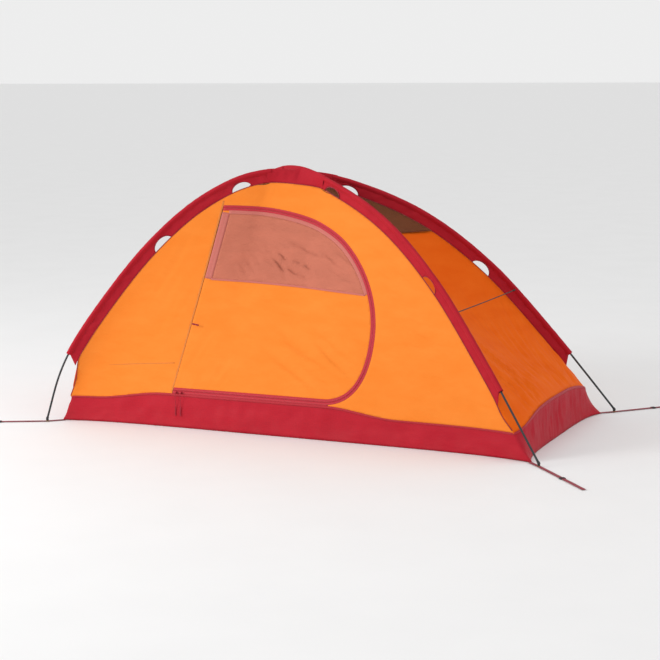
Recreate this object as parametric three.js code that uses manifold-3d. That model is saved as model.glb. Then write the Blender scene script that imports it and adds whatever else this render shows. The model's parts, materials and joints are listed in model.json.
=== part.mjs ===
// A one-person dome tent: two crossing aluminium poles in fin-shaped fabric sleeves hold up a
// canopy over a bathtub floor, with a D-shaped door in the long front side.
// Millimetres. +Z up, +X along the tent, -Y towards the door. The origin is on the ground in the
// middle of the tent.
import * as THREE from "three";
import { mergeVertices } from "three/addons/utils/BufferGeometryUtils.js";
import Module from "manifold-3d";

const wasm = await Module();
wasm.setup();

// ---------------------------------------------------------------- driving dimensions
const FOOT_SPAN_X = 2200; // between the pole feet, along the tent
const FOOT_SPAN_Y = 1120; // between the pole feet, across the tent
const CROWN_HEIGHT = 1065; // pole centrelines at the crossing
const CROWN_SHIFT = -140; // the crossing stands this far towards the left end
const FOOT_HEIGHT = 14; // end of a pole's last tube above the ground
// Height of a leg as a share of the crown's, at shares of its reach from the crossing to its foot.
const LEG_SHAPES = {
  left: [[0.2, 0.987], [0.4, 0.887], [0.6, 0.705], [0.8, 0.446], [0.9, 0.288], [0.95, 0.176], [1, 0]],
  right: [[0.2, 0.934], [0.4, 0.813], [0.6, 0.611], [0.8, 0.324], [0.9, 0.164], [1, 0]],
};

const POLE_DIAMETER = 8.5;
const POLE_WALL = 0.65;
const POLE_TUBES = 7; // tubes in each pole
const SPIGOT_LENGTH = 45; // insert that reaches into the next tube
const SPIGOT_WALL = 0.9;
const SPIGOT_CLEARANCE = 0.3; // all round, between an insert and the tube it enters
const CORD_DIAMETER = 2.6; // elastic shock cord inside the tubes
const CORD_END = 4; // the cord's knot sits this far inside the pole's end
const POLE_SIDES = 6;
const TUBE_STEPS = 4;
const UNDER_DROP = 5; // the front-left pole dips under the other one at the crossing
const OVER_RISE = 11; // and the other one rises over it
const CROSSING_SPREAD = 130; // reach of that dip and rise along the poles
const TIP_COLLAR = 2.3; // the tip's collar stands this much outside the tube's bore
const TIP_PIN_RADIUS = 2.3;
const TIP_PLUG = 28; // the tip reaches this far into the tube
const TIP_CAP = 7; // and this far out of it
const TIP_CLEARANCE = 0.35;

const FABRIC = 1.6; // stand-in thickness of canopy cloth
const GAP = 0.5; // between neighbouring sewn pieces
const SEAM_GAP = 1.6; // between the tub's top edge and the canopy that leans in above it
const CORNER_GAP = 8; // between two panels that meet at a corner seam
const SLEEVE_CLEARANCE = 3.6; // between the pole and the tunnel's cloth
const SLEEVE_WALL = 2.15;
const FIN_WIDTH = 48; // pole centreline to canopy seam
const FIN_CLEARANCE = 3.5; // the fin's lower edge stops this far from the seam line
const SLEEVE_START = 138; // from the crossing to the sleeve's upper end
const SLEEVE_STEPS = 12;
const SLEEVE_SIDES = 8;
const SLEEVE_END_HEIGHT = { left: 292, right: 262 }; // where the pole comes out of the sleeve
const SLEEVE_SLANT = 34; // the fin reaches this much further down than the tunnel
const MOON_RADIUS = 47; // half-moon vents in the fin's canopy edge
const MOON_DEPTH = 30;
const MOON_PLACES = { left: [280, 715], right: [215, 905] }; // from the crossing, down each leg
const CROWN_PATCH = { x: 160, y: 72, rise: 24, skirt: 34 }; // cap over the crossing

const CORNER_SET_IN = 60; // from a pole foot to the groundsheet's corner, both ways
const FLOOR_HALF_X = FOOT_SPAN_X / 2 - CORNER_SET_IN;
const FLOOR_HALF_Y = FOOT_SPAN_Y / 2 - CORNER_SET_IN;
const FLOOR_BOW_X = 26; // the end edges curve in by this much
const FLOOR_BOW_Y = 48; // and the long edges by this much
const FLOOR_EDGE_INSET = 2; // tub walls stand just inside the groundsheet's edge
const TUB_LEAN = 14; // tub walls lean in by this much at the top
const TUB_HEIGHT = 104; // at the corners and along the back
const TUB_DOOR_RISE = 34; // higher under the door
const TUB_DOOR_MARGIN = 33; // the high part of the edge starts this far before the hinge
const TUB_RISE_RUN = 330; // over this length the edge comes down again
const TUB_END_RISE = 62; // higher in the middle of the ends
const CORNER_RISE = 12; // canopy seams start this far above the tub's corner
const SEAM_DROP = 54; // roof seams pass this far under the crossing
const CROWN_HALF = { x: 78, y: 50 }; // and this far out from it
const VENT_DROP = 265; // from the crown down to the lower edge of the mesh in each end

const HINGE_BOTTOM_X = -552; // the door's sewn edge, where it meets the tub
const HINGE_TOP_X = -423; // and where its line meets the roof seam
const HINGE_GAP = 1.2;
const DOOR_TOP_DROP = 146; // from the crown down to the top of the zip
const DOOR_SHOULDER = { x: 150, drop: 290 }; // where the zip turns down
const DOOR_SIDE = { x: 331, height: 411 }; // where the zip stands upright
const DOOR_HEEL_X = 150; // where the zip meets its straight lower run
const ZIP_RISE = 6; // the zip runs this far above the tub's seam
const ZIP_TAPE = 7; // width of each half of the zip
const ZIP_OPENING = 2.6; // between the two halves, for the coil
const WINDOW_BOTTOM = { left: 612, right: 574 };
const WINDOW_HEM = 12; // door cloth left round the window
const HINGE_HEM = 30; // and beside the hinge

const STRAPS = { left: { angle: 26, tail: 236 }, right: { angle: 48, tail: 385 } };
const STRAP_WIDTH = 15;
const STRAP_THICKNESS = 1.2;
const STRAP_HEIGHT = 2.2; // underside of the webbing above the ground
const EYELET_HOLE = 2.9;
const EYELET_BARREL = 4.4;
const EYELET_FLANGE = 7.2;
const FLANGE_THICKNESS = 0.6;
const BUCKLE_PLACE = 205; // from the pole foot, along the strap
const BUCKLE_LENGTH = 16;
const BUCKLE_WALL = 3.2;
const BUCKLE_CLEARANCE = 0.6;
const BUCKLE_HEIGHT = 5.4;
const BUCKLE_LIFT = 0.3; // underside of the buckle above the ground
const TIE_HEIGHT = 545; // cord across the right end, between the two legs
const TIE_DIAMETER = 4.2;
const TIE_HOOK_LENGTH = 26;
const SLIDER_SIZE = { width: 9, depth: 4.5, height: 11 };
const SLIDER_PLACES = { lead: 48, tail: 24 }; // from the hinge, along the zip
const SLIDER_CLEARANCE = 1.2;
const PULL_SIZE = { width: 4.2, depth: 2.2, length: 92 };
const GRIP_SIZE = { width: 7.2, depth: 3.6, length: 16 };
const PULL_BRIDGE = 3;
const TOGGLE_HEIGHT = 428;
const TOGGLE_LENGTH = 34;
const TOGGLE_RADIUS = 2.6;
const TOGGLE_STAND_OFF = 7; // from the hinge line out to the toggle

// ---------------------------------------------------------------- materials
function finish(color, roughness, metalness = 0) {
  return new THREE.MeshStandardMaterial({ color, roughness, metalness });
}
const orangeCloth = finish(0xf28c41, 0.62);
const redCloth = finish(0xb02a3a, 0.6);
const windowMesh = finish(0xc37058, 0.8);
const ventMesh = finish(0x8c502d, 0.85);
const zipRed = finish(0xc02c40, 0.5);
const anodised = finish(0x44484a, 0.35, 0.85);
const tipPlastic = finish(0x1c1d1e, 0.5);
const brass = finish(0xb08d4a, 0.35, 0.9);
const webbing = finish(0x8e2132, 0.75);
const blackPlastic = finish(0x161616, 0.42);
const elastic = finish(0x2c2c2e, 0.8);

// ---------------------------------------------------------------- solids and booleans
const mix = (a, b, t) => a + (b - a) * t;

// A closed geometry as a solid with its faces pointing out.
function toSolid(geometry) {
  const bare = geometry.clone();
  bare.deleteAttribute("normal");
  bare.deleteAttribute("uv");
  const merged = mergeVertices(bare, 1e-3);
  const corners = merged.index.array;
  const whole = [];
  for (let i = 0; i < corners.length; i += 3) {
    const [a, b, c] = [corners[i], corners[i + 1], corners[i + 2]];
    if (a !== b && b !== c && c !== a) whole.push([a, b, c]);
  }
  const vertProperties = new Float32Array(merged.attributes.position.array);
  const build = (faces) => {
    const triVerts = new Uint32Array(faces.flat());
    return new wasm.Manifold(new wasm.Mesh({ numProp: 3, vertProperties, triVerts }));
  };
  const made = build(whole);
  return made.volume() >= 0 ? made : build(whole.map(([a, b, c]) => [a, c, b]));
}

function toGeometry(solid) {
  const mesh = solid.getMesh();
  const geometry = new THREE.BufferGeometry();
  geometry.setAttribute("position", new THREE.BufferAttribute(mesh.vertProperties, 3));
  geometry.setIndex(new THREE.BufferAttribute(mesh.triVerts, 1));
  geometry.computeVertexNormals();
  return geometry;
}

const tent = new THREE.Group();
function addPiece(name, solid, material) {
  const mesh = new THREE.Mesh(toGeometry(solid), material);
  mesh.name = name;
  tent.add(mesh);
  return mesh;
}

// A prism with the given outline in the XZ plane, from yFrom to yTo.
function prismAlongY(outline, yFrom, yTo) {
  const shape = new THREE.Shape(outline.map(([x, z]) => new THREE.Vector2(x, z)));
  const geometry = new THREE.ExtrudeGeometry(shape, { depth: yTo - yFrom, bevelEnabled: false });
  geometry.rotateX(Math.PI / 2);
  geometry.translate(0, yTo, 0);
  return toSolid(geometry);
}

function block(size, centre) {
  return toSolid(new THREE.BoxGeometry(...size).translate(...centre));
}

// ---------------------------------------------------------------- legs and poles
const LEGS = {
  front_left: { side: "left", sx: -1, sy: -1 },
  back_right: { side: "right", sx: 1, sy: 1 },
  back_left: { side: "left", sx: -1, sy: 1 },
  front_right: { side: "right", sx: 1, sy: -1 },
};
const POLES = {
  under: { legs: ["front_left", "back_right"], lift: -UNDER_DROP },
  over: { legs: ["back_left", "front_right"], lift: OVER_RISE },
};

const footOf = (leg) => new THREE.Vector2((leg.sx * FOOT_SPAN_X) / 2, (leg.sy * FOOT_SPAN_Y) / 2);

function legPoint(leg, reach, height) {
  const foot = footOf(leg);
  return new THREE.Vector3(
    mix(CROWN_SHIFT, foot.x, reach),
    foot.y * reach,
    mix(FOOT_HEIGHT, CROWN_HEIGHT, height),
  );
}

// A pole's centreline, from the foot of its first leg over the crossing to its other foot.
class PoleLine extends THREE.Curve {
  constructor(legs, lift) {
    super();
    this.lift = lift;
    const down = (leg) => LEG_SHAPES[leg.side].map(([reach, height]) => legPoint(leg, reach, height));
    const crossing = new THREE.Vector3(CROWN_SHIFT, 0, CROWN_HEIGHT);
    this.line = new THREE.CatmullRomCurve3([...down(legs[0]).reverse(), crossing, ...down(legs[1])]);
    this.line.arcLengthDivisions = 600;
  }
  getPoint(t, target = new THREE.Vector3()) {
    this.line.getPointAt(t, target);
    const away = Math.hypot(target.x - CROWN_SHIFT, target.y);
    target.z += this.lift * Math.exp(-((away / CROSSING_SPREAD) ** 2));
    return target;
  }
}

for (const pole of Object.values(POLES)) {
  pole.line = new PoleLine(pole.legs.map((name) => LEGS[name]), pole.lift);
  pole.length = pole.line.line.getLength();
}

const TANGENT_REACH = 0.002; // share of a pole's length looked ahead for its direction

// Place and directions at a distance along a pole: along it, square to it and up, and sideways.
function frameAt(pole, distance) {
  const t = THREE.MathUtils.clamp(distance / pole.length, 0, 1);
  const point = pole.line.getPoint(t);
  const along = pole.line.getPoint(Math.min(1, t + TANGENT_REACH));
  along.sub(pole.line.getPoint(Math.max(0, t - TANGENT_REACH))).normalize();
  const side = new THREE.Vector3().crossVectors(along, new THREE.Vector3(0, 0, 1)).normalize();
  const up = new THREE.Vector3().crossVectors(side, along);
  return { point, along, side, up };
}

// Bends a geometry whose Y is distance along the pole, X is up and Z is sideways.
function bendAlong(pole, geometry) {
  const position = geometry.attributes.position;
  for (let i = 0; i < position.count; i += 1) {
    const distance = position.getY(i);
    const { point, along, side, up } = frameAt(pole, distance);
    const inside = THREE.MathUtils.clamp(distance, 0, pole.length);
    point.addScaledVector(up, position.getX(i));
    point.addScaledVector(side, position.getZ(i));
    point.addScaledVector(along, distance - inside);
    position.setXYZ(i, point.x, point.y, point.z);
  }
  return geometry;
}

// A turned shape along a pole: profile points are [distance, radius], closed on itself.
function turnedAlong(pole, profile, sides = POLE_SIDES) {
  const points = profile.map(([distance, radius]) => new THREE.Vector2(radius, distance));
  return toSolid(bendAlong(pole, new THREE.LatheGeometry(points, sides)));
}

// Distances from a to b in steps short enough to follow the pole's bend.
function stretch(from, to, steps) {
  return Array.from({ length: steps + 1 }, (_, i) => mix(from, to, i / steps));
}

function rodAlong(pole, from, to, radius, steps, sides = POLE_SIDES) {
  const wall = stretch(from, to, steps).map((distance) => [distance, radius]);
  return turnedAlong(pole, [[from, 0], ...wall, [to, 0]], sides);
}

const TUBE_RADIUS = POLE_DIAMETER / 2;
const TUBE_BORE = TUBE_RADIUS - POLE_WALL;
const SPIGOT_RADIUS = TUBE_BORE - SPIGOT_CLEARANCE;
const CHANNEL_RADIUS = TUBE_RADIUS + SLEEVE_CLEARANCE; // room for the pole in sleeves and crown
const SLEEVE_RADIUS = CHANNEL_RADIUS + SLEEVE_WALL;

// Where a tube's walls bend: at its ends, at the depth of a spigot, and between.
function tubeStations(pole, index) {
  const length = pole.length / POLE_TUBES;
  const from = index * length + (index ? GAP : 0);
  const to = (index + 1) * length;
  const middle = stretch(index * length + SPIGOT_LENGTH, to - SPIGOT_LENGTH, TUBE_STEPS);
  return [from, ...middle, to];
}

function poleTube(pole, index) {
  const stations = tubeStations(pole, index);
  const to = stations[stations.length - 1];
  const outside = stations.map((distance) => [distance, TUBE_RADIUS]);
  const bore = stations.map((distance) => [distance, TUBE_BORE]).reverse();
  if (index === POLE_TUBES - 1) return turnedAlong(pole, [...outside, ...bore, outside[0]]);
  const spigotBore = SPIGOT_RADIUS - SPIGOT_WALL;
  const profile = [
    ...outside,
    [to, SPIGOT_RADIUS],
    [to + SPIGOT_LENGTH, SPIGOT_RADIUS],
    [to + SPIGOT_LENGTH, spigotBore],
    [to, spigotBore],
    [to - SPIGOT_LENGTH, spigotBore],
    ...bore.slice(1),
    outside[0],
  ];
  return turnedAlong(pole, profile);
}

function shockCord(pole) {
  const places = [];
  for (let i = 0; i < POLE_TUBES; i += 1) places.push(...tubeStations(pole, i).slice(0, -1));
  places[0] = CORD_END;
  places.push(pole.length - CORD_END);
  const wall = places.map((distance) => [distance, CORD_DIAMETER / 2]);
  return turnedAlong(pole, [[CORD_END, 0], ...wall, [pole.length - CORD_END, 0]]);
}

for (const [poleName, pole] of Object.entries(POLES)) {
  for (let i = 0; i < POLE_TUBES; i += 1) {
    addPiece(`pole_${poleName}_tube_${i + 1}`, poleTube(pole, i), anodised);
  }
  addPiece(`shock_cord_${poleName}`, shockCord(pole), elastic);
}

// Each leg knows its pole and how distance runs along it, counted from the crossing.
for (const pole of Object.values(POLES)) {
  let crossing = 0;
  for (let d = 0; d < pole.length; d += 1) {
    const here = pole.line.getPoint(d / pole.length);
    const best = pole.line.getPoint(crossing / pole.length);
    if (Math.hypot(here.x - CROWN_SHIFT, here.y) < Math.hypot(best.x - CROWN_SHIFT, best.y)) crossing = d;
  }
  pole.crossing = crossing;
  pole.legs.forEach((name, order) => {
    const leg = LEGS[name];
    leg.pole = pole;
    leg.direction = order === 0 ? -1 : 1;
    leg.length = order === 0 ? crossing : pole.length - crossing;
  });
}
const alongPole = (leg, fromCrossing) => leg.pole.crossing + leg.direction * fromCrossing;

// Distance from the crossing to where a leg comes down to a height.
function distanceAtHeight(leg, height) {
  let distance = leg.length;
  while (frameAt(leg.pole, alongPole(leg, distance)).point.z < height) distance -= 1;
  return distance;
}

// ---------------------------------------------------------------- pole tips
const EYELET_TOP = STRAP_HEIGHT + STRAP_THICKNESS + GAP + FLANGE_THICKNESS;
const COLLAR_RADIUS = TUBE_BORE - TIP_CLEARANCE + TIP_COLLAR;

// A turned shape standing on a pole foot: profile points are [radius, height].
function turnedOnFoot(leg, profile, sides) {
  const foot = footOf(leg);
  const points = profile.map(([radius, height]) => new THREE.Vector2(radius, height));
  return toSolid(new THREE.LatheGeometry(points, sides).rotateX(Math.PI / 2).translate(foot.x, foot.y, 0));
}

// A tip plugs into the last tube, and its pin stands in the eyelet of the corner strap. The
// shock cord ends in a hole in the plug.
function poleTip(leg) {
  const collarTop = FOOT_HEIGHT - TUBE_RADIUS;
  const post = turnedOnFoot(leg, [
    [0, GAP],
    [TIP_PIN_RADIUS, GAP],
    [TIP_PIN_RADIUS, EYELET_TOP + GAP],
    [COLLAR_RADIUS, EYELET_TOP + GAP],
    [COLLAR_RADIUS, collarTop],
    [0, collarTop],
  ], 8);
  const end = alongPole(leg, leg.length);
  const out = leg.direction;
  const plugEnd = end - out * TIP_PLUG;
  const capEnd = end + out * TIP_CAP;
  const capStart = end + out * GAP;
  const plugRadius = TUBE_BORE - TIP_CLEARANCE;
  const plug = turnedAlong(leg.pole, [
    [plugEnd, 0],
    [plugEnd, plugRadius],
    [capStart, plugRadius],
    [capStart, COLLAR_RADIUS],
    [capEnd, COLLAR_RADIUS - 1],
    [capEnd, 0],
  ]);
  const holeEnd = end - out;
  const [from, to] = [plugEnd - out, holeEnd].sort((a, b) => a - b);
  const cordHole = rodAlong(leg.pole, from, to, CORD_DIAMETER / 2 + GAP, 3);
  return plug.subtract(cordHole).add(post);
}

for (const [name, leg] of Object.entries(LEGS)) addPiece(`pole_tip_${name}`, poleTip(leg), tipPlastic);

// ---------------------------------------------------------------- groundsheet and tub
const bow = (share, power) => 1 - Math.abs(share) ** power;
const floorY = (x) => FLOOR_HALF_Y - FLOOR_BOW_Y * bow(x / FLOOR_HALF_X, 6);
const floorX = (y) => FLOOR_HALF_X - FLOOR_BOW_X * bow(y / FLOOR_HALF_Y, 4);

// Height of the tub's top edge along the front, the back and the ends.
function tubTopFront(x) {
  const from = HINGE_BOTTOM_X - TUB_DOOR_MARGIN;
  const left = THREE.MathUtils.smoothstep(x, from - TUB_RISE_RUN, from);
  const right = 1 - THREE.MathUtils.smoothstep(x, DOOR_HEEL_X, DOOR_HEEL_X + TUB_RISE_RUN);
  return TUB_HEIGHT + TUB_DOOR_RISE * left * right;
}
const tubTopBack = () => TUB_HEIGHT;
const tubTopEnd = (y) => TUB_HEIGHT + TUB_END_RISE * bow(y / FLOOR_HALF_Y, 3);

const WALLS = {
  front: { along: "x", sign: -1, top: tubTopFront },
  back: { along: "x", sign: 1, top: tubTopBack },
  left: { along: "y", sign: -1, top: tubTopEnd },
  right: { along: "y", sign: 1, top: tubTopEnd },
};
// Half the length of each panel's lower edge: the long panels run to the corners, and the end
// panels stop short of them.
const HALF_LENGTH = { x: FLOOR_HALF_X, y: FLOOR_HALF_Y - CORNER_GAP };

function onWallBase(wall, share, height, lean) {
  const half = HALF_LENGTH[wall.along];
  const place = share * (half - lean);
  const out = (wall.along === "x" ? floorY(place) : floorX(place)) - lean;
  if (wall.along === "x") return new THREE.Vector3(place, wall.sign * out, height);
  return new THREE.Vector3(wall.sign * out, place, height);
}

const COLUMNS = { x: 30, y: 16 }; // strips of cloth in a panel, by the way it runs

// A panel of cloth between a lower and an upper edge, with its thickness on the inside.
function panel(lower, upper, columns, rows) {
  const at = (u, v) => lower(u).lerp(upper(u), v);
  const outer = [];
  const inner = [];
  const inwards = new THREE.Vector3();
  for (let j = 0; j <= rows; j += 1) {
    for (let i = 0; i <= columns; i += 1) {
      const u = -1 + (2 * i) / columns;
      const v = j / rows;
      const point = at(u, v);
      const across = at(Math.min(1, u + 0.01), v).sub(at(Math.max(-1, u - 0.01), v));
      const upwards = upper(u).sub(lower(u));
      const normal = new THREE.Vector3().crossVectors(across, upwards).normalize();
      inwards.set(CROWN_SHIFT - point.x, -point.y, 0);
      if (normal.dot(inwards) < 0) normal.negate();
      outer.push(point);
      inner.push(point.clone().addScaledVector(normal, FABRIC));
    }
  }
  const points = [...outer, ...inner];
  const width = columns + 1;
  const shift = outer.length;
  const faces = [];
  const quad = (a, b, c, d) => faces.push(a, b, c, a, c, d);
  for (let j = 0; j < rows; j += 1) {
    for (let i = 0; i < columns; i += 1) {
      const a = j * width + i;
      quad(a, a + 1, a + width + 1, a + width);
      quad(shift + a, shift + a + width, shift + a + width + 1, shift + a + 1);
    }
  }
  for (let i = 0; i < columns; i += 1) {
    const b = rows * width + i;
    quad(i + 1, i, shift + i, shift + i + 1);
    quad(b, b + 1, shift + b + 1, shift + b);
  }
  for (let j = 0; j < rows; j += 1) {
    const a = j * width;
    const b = a + columns;
    quad(a, a + width, shift + a + width, shift + a);
    quad(b + width, b, shift + b, shift + b + width);
  }
  const geometry = new THREE.BufferGeometry();
  const flat = new Float32Array(points.flatMap((p) => [p.x, p.y, p.z]));
  geometry.setAttribute("position", new THREE.BufferAttribute(flat, 3));
  geometry.setIndex(faces);
  return toSolid(geometry);
}

function groundsheet() {
  const outline = [];
  const edge = (count, point) => {
    for (let i = 0; i < count; i += 1) outline.push(point(-1 + (2 * i) / count));
  };
  const [long, short] = [20, 10];
  edge(long, (s) => new THREE.Vector2(s * FLOOR_HALF_X, -floorY(s * FLOOR_HALF_X)));
  edge(short, (s) => new THREE.Vector2(floorX(s * FLOOR_HALF_Y), s * FLOOR_HALF_Y));
  edge(long, (s) => new THREE.Vector2(-s * FLOOR_HALF_X, floorY(s * FLOOR_HALF_X)));
  edge(short, (s) => new THREE.Vector2(-floorX(s * FLOOR_HALF_Y), -s * FLOOR_HALF_Y));
  const shape = new THREE.Shape(outline);
  return toSolid(new THREE.ExtrudeGeometry(shape, { depth: FABRIC, bevelEnabled: false }));
}
addPiece("groundsheet", groundsheet(), redCloth);

for (const [name, wall] of Object.entries(WALLS)) {
  const lower = (s) => onWallBase(wall, s, FABRIC + GAP, FLOOR_EDGE_INSET);
  const upper = (s) => {
    const point = onWallBase(wall, s, 0, TUB_LEAN);
    point.z = wall.top(wall.along === "x" ? point.x : point.y) - GAP;
    return point;
  };
  addPiece(`tub_${name}`, panel(lower, upper, COLUMNS[wall.along], 1), redCloth);
}

// ---------------------------------------------------------------- roof seams
const SEAM_STEPS = 16;
const CORNER_PULL = { share: 0.55, x: 9, y: 4 }; // the seam bows in between sleeve end and corner

// The seam of a leg lies in the leg's plane, a fin's width inside the pole, and below the sleeve
// it comes in to the tub's corner.
function legSeam(leg) {
  const points = [];
  const stop = distanceAtHeight(leg, SLEEVE_END_HEIGHT[leg.side]);
  for (const distance of stretch(SLEEVE_START, stop, SEAM_STEPS)) {
    const { point, up } = frameAt(leg.pole, alongPole(leg, distance));
    points.push(point.addScaledVector(up, -FIN_WIDTH));
  }
  const corner = new THREE.Vector3(
    leg.sx * (FLOOR_HALF_X - TUB_LEAN),
    leg.sy * (FLOOR_HALF_Y - TUB_LEAN),
    TUB_HEIGHT + CORNER_RISE,
  );
  const bowed = points[points.length - 1].clone().lerp(corner, CORNER_PULL.share);
  bowed.x -= leg.sx * CORNER_PULL.x;
  bowed.y -= leg.sy * CORNER_PULL.y;
  points.push(bowed, corner);
  return points;
}

const EDGE_POINTS = 400;

// The upper edge of a wall: up one leg's seam, over beside the crown, down the other's.
function upperEdge(wallName) {
  const wall = WALLS[wallName];
  const pair = Object.entries(LEGS).filter(([name]) => name.split("_").includes(wallName));
  const low = pair.find(([, leg]) => (wall.along === "x" ? leg.sx : leg.sy) < 0)[1];
  const high = pair.find(([, leg]) => (wall.along === "x" ? leg.sx : leg.sy) > 0)[1];
  const top = new THREE.Vector3(CROWN_SHIFT, 0, CROWN_HEIGHT - SEAM_DROP);
  if (wall.along === "x") top.y = wall.sign * CROWN_HALF.y;
  else top.x += wall.sign * CROWN_HALF.x;
  const points = [...legSeam(low).reverse(), top, ...legSeam(high)];
  if (wall.along === "y") {
    for (const point of points) {
      if (point === top) continue;
      const foot = footOf(point.y < 0 ? low : high);
      const away = new THREE.Vector2(foot.x - CROWN_SHIFT, foot.y).normalize();
      point.x += wall.sign * Math.abs(away.y) * CORNER_GAP;
      point.y -= Math.sign(point.y) * Math.abs(away.x) * CORNER_GAP;
    }
  }
  const curve = new THREE.CatmullRomCurve3(points);
  curve.arcLengthDivisions = EDGE_POINTS;
  return curve.getSpacedPoints(EDGE_POINTS);
}

// The point of an upper edge at a place along the wall.
function edgeAt(edge, axis, place) {
  const clamped = THREE.MathUtils.clamp(place, edge[0][axis], edge[edge.length - 1][axis]);
  const next = Math.max(1, edge.findIndex((point) => point[axis] >= clamped));
  const [a, b] = [edge[next - 1], edge[next]];
  return a.clone().lerp(b, (clamped - a[axis]) / (b[axis] - a[axis] || 1));
}

// Threads of the cloth fan in towards the roof: this share of the lower place at the top.
const HINGE_SHARE = HINGE_BOTTOM_X / (FLOOR_HALF_X - TUB_LEAN);
const FAN = {
  x: (HINGE_TOP_X / HINGE_BOTTOM_X - HINGE_SHARE ** 4) / (1 - HINGE_SHARE ** 4),
  y: 0.62,
};

function wallShell(name) {
  const wall = WALLS[name];
  const edge = upperEdge(name);
  const lower = (s) => {
    const point = onWallBase(wall, s, 0, TUB_LEAN);
    point.z = wall.top(wall.along === "x" ? point.x : point.y) + SEAM_GAP;
    return point;
  };
  const upper = (s) => {
    const fan = FAN[wall.along] + (1 - FAN[wall.along]) * s ** 4;
    return edgeAt(edge, wall.along, s * fan * (HALF_LENGTH[wall.along] - TUB_LEAN));
  };
  return panel(lower, upper, COLUMNS[wall.along], 2);
}

// ---------------------------------------------------------------- door, window and zip
// The door's outline, seen square from the front: up the sewn edge, over the top, down the right
// side and back along the tub.
const DOOR_BOTTOM = TUB_HEIGHT + TUB_DOOR_RISE + GAP;
const DOOR_TOP = CROWN_HEIGHT - DOOR_TOP_DROP;
const ZIP_BOTTOM = DOOR_BOTTOM + ZIP_RISE;
const roofAtHinge = edgeAt(upperEdge("front"), "x", HINGE_TOP_X);
const hingeShare = (height) => (height - DOOR_BOTTOM) / (roofAtHinge.z - DOOR_BOTTOM);
const hingeX = (height) => mix(HINGE_BOTTOM_X, HINGE_TOP_X, hingeShare(height));

const DOOR_CURVE_STEPS = 7;

// A rounded span's two handles are given as shares of the way to its far end, along and up.
function doorCurve() {
  const path = new THREE.Path();
  path.moveTo(hingeX(DOOR_TOP), DOOR_TOP);
  const span = (from, leave, arrive, to) => {
    const control = (share) => [mix(from[0], to[0], share[0]), mix(from[1], to[1], share[1])];
    path.bezierCurveTo(...control(leave), ...control(arrive), ...to);
  };
  const corners = [
    [hingeX(DOOR_TOP), DOOR_TOP],
    [DOOR_SHOULDER.x, CROWN_HEIGHT - DOOR_SHOULDER.drop],
    [DOOR_SIDE.x, DOOR_SIDE.height],
    [DOOR_HEEL_X, ZIP_BOTTOM],
  ];
  span(corners[0], [0.476, 0], [0.843, 0.48], corners[1]);
  span(corners[1], [0.718, 0.288], [1, 0.67], corners[2]);
  span(corners[2], [0, 0.53], [0.227, 0.98], corners[3]);
  path.lineTo(HINGE_BOTTOM_X, ZIP_BOTTOM);
  return path.getPoints(DOOR_CURVE_STEPS);
}

// The zipped edge moved in by a distance, from the hinge over the top and back to the hinge.
function zippedEdge(inset) {
  const points = doorCurve();
  return points.map((point, i) => {
    const before = points[Math.max(0, i - 1)];
    const after = points[Math.min(points.length - 1, i + 1)];
    const along = after.clone().sub(before).normalize();
    return [point.x + along.y * inset, point.y - along.x * inset];
  });
}

function bandOutline(outerInset, innerInset, hingeInset) {
  const outer = zippedEdge(outerInset);
  const inner = zippedEdge(innerInset).reverse();
  return [...outer, ...inner].map(([x, z]) => [Math.max(x, hingeX(z) + hingeInset), z]);
}

const leafInset = ZIP_TAPE * 2 + ZIP_OPENING + GAP * 3;
const doorShell = wallShell("front");
const FRONT_DEPTH = [-FLOOR_HALF_Y, 0];
const cutFront = (outline) => doorShell.intersect(prismAlongY(outline, ...FRONT_DEPTH));

const opening = zippedEdge(0);
addPiece("wall_front", doorShell.subtract(prismAlongY(opening, ...FRONT_DEPTH)), orangeCloth);
addPiece("zip_tape_wall", cutFront(bandOutline(GAP, GAP + ZIP_TAPE, HINGE_GAP)), zipRed);
const doorTapeFrom = GAP + ZIP_TAPE + ZIP_OPENING;
addPiece("zip_tape_door", cutFront(bandOutline(doorTapeFrom, doorTapeFrom + ZIP_TAPE, HINGE_GAP)), zipRed);

const leafOutline = zippedEdge(leafInset).map(([x, z]) => [Math.max(x, hingeX(z) + HINGE_GAP), z]);
const leaf = cutFront(leafOutline);
function windowOutline(grow) {
  return [
    [hingeX(WINDOW_BOTTOM.left) + HINGE_HEM - grow, WINDOW_BOTTOM.left - grow],
    [DOOR_SIDE.x, WINDOW_BOTTOM.right - grow],
    [DOOR_SIDE.x, DOOR_TOP],
    [hingeX(DOOR_TOP) + HINGE_HEM - grow, DOOR_TOP],
  ];
}
const trimmed = zippedEdge(leafInset + WINDOW_HEM);
const innerLeaf = cutFront(trimmed);
const windowPanel = innerLeaf.intersect(prismAlongY(windowOutline(0), ...FRONT_DEPTH));
const windowHole = prismAlongY(zippedEdge(leafInset + WINDOW_HEM - GAP), ...FRONT_DEPTH).intersect(
  prismAlongY(windowOutline(GAP), ...FRONT_DEPTH),
);
addPiece("door_panel", leaf.subtract(windowHole), orangeCloth);
addPiece("door_window", windowPanel, windowMesh);

addPiece("wall_back", wallShell("back"), orangeCloth);
const room = FOOT_SPAN_X * 2;
const VENT_BOTTOM = CROWN_HEIGHT - VENT_DROP;
for (const name of ["left", "right"]) {
  const shell = wallShell(name);
  const above = block([room, room, room], [0, 0, VENT_BOTTOM + GAP / 2 + room / 2]);
  const below = block([room, room, room], [0, 0, VENT_BOTTOM - GAP / 2 - room / 2]);
  addPiece(`wall_${name}`, shell.intersect(below), orangeCloth);
  addPiece(`vent_${name}`, shell.intersect(above), ventMesh);
}

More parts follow.
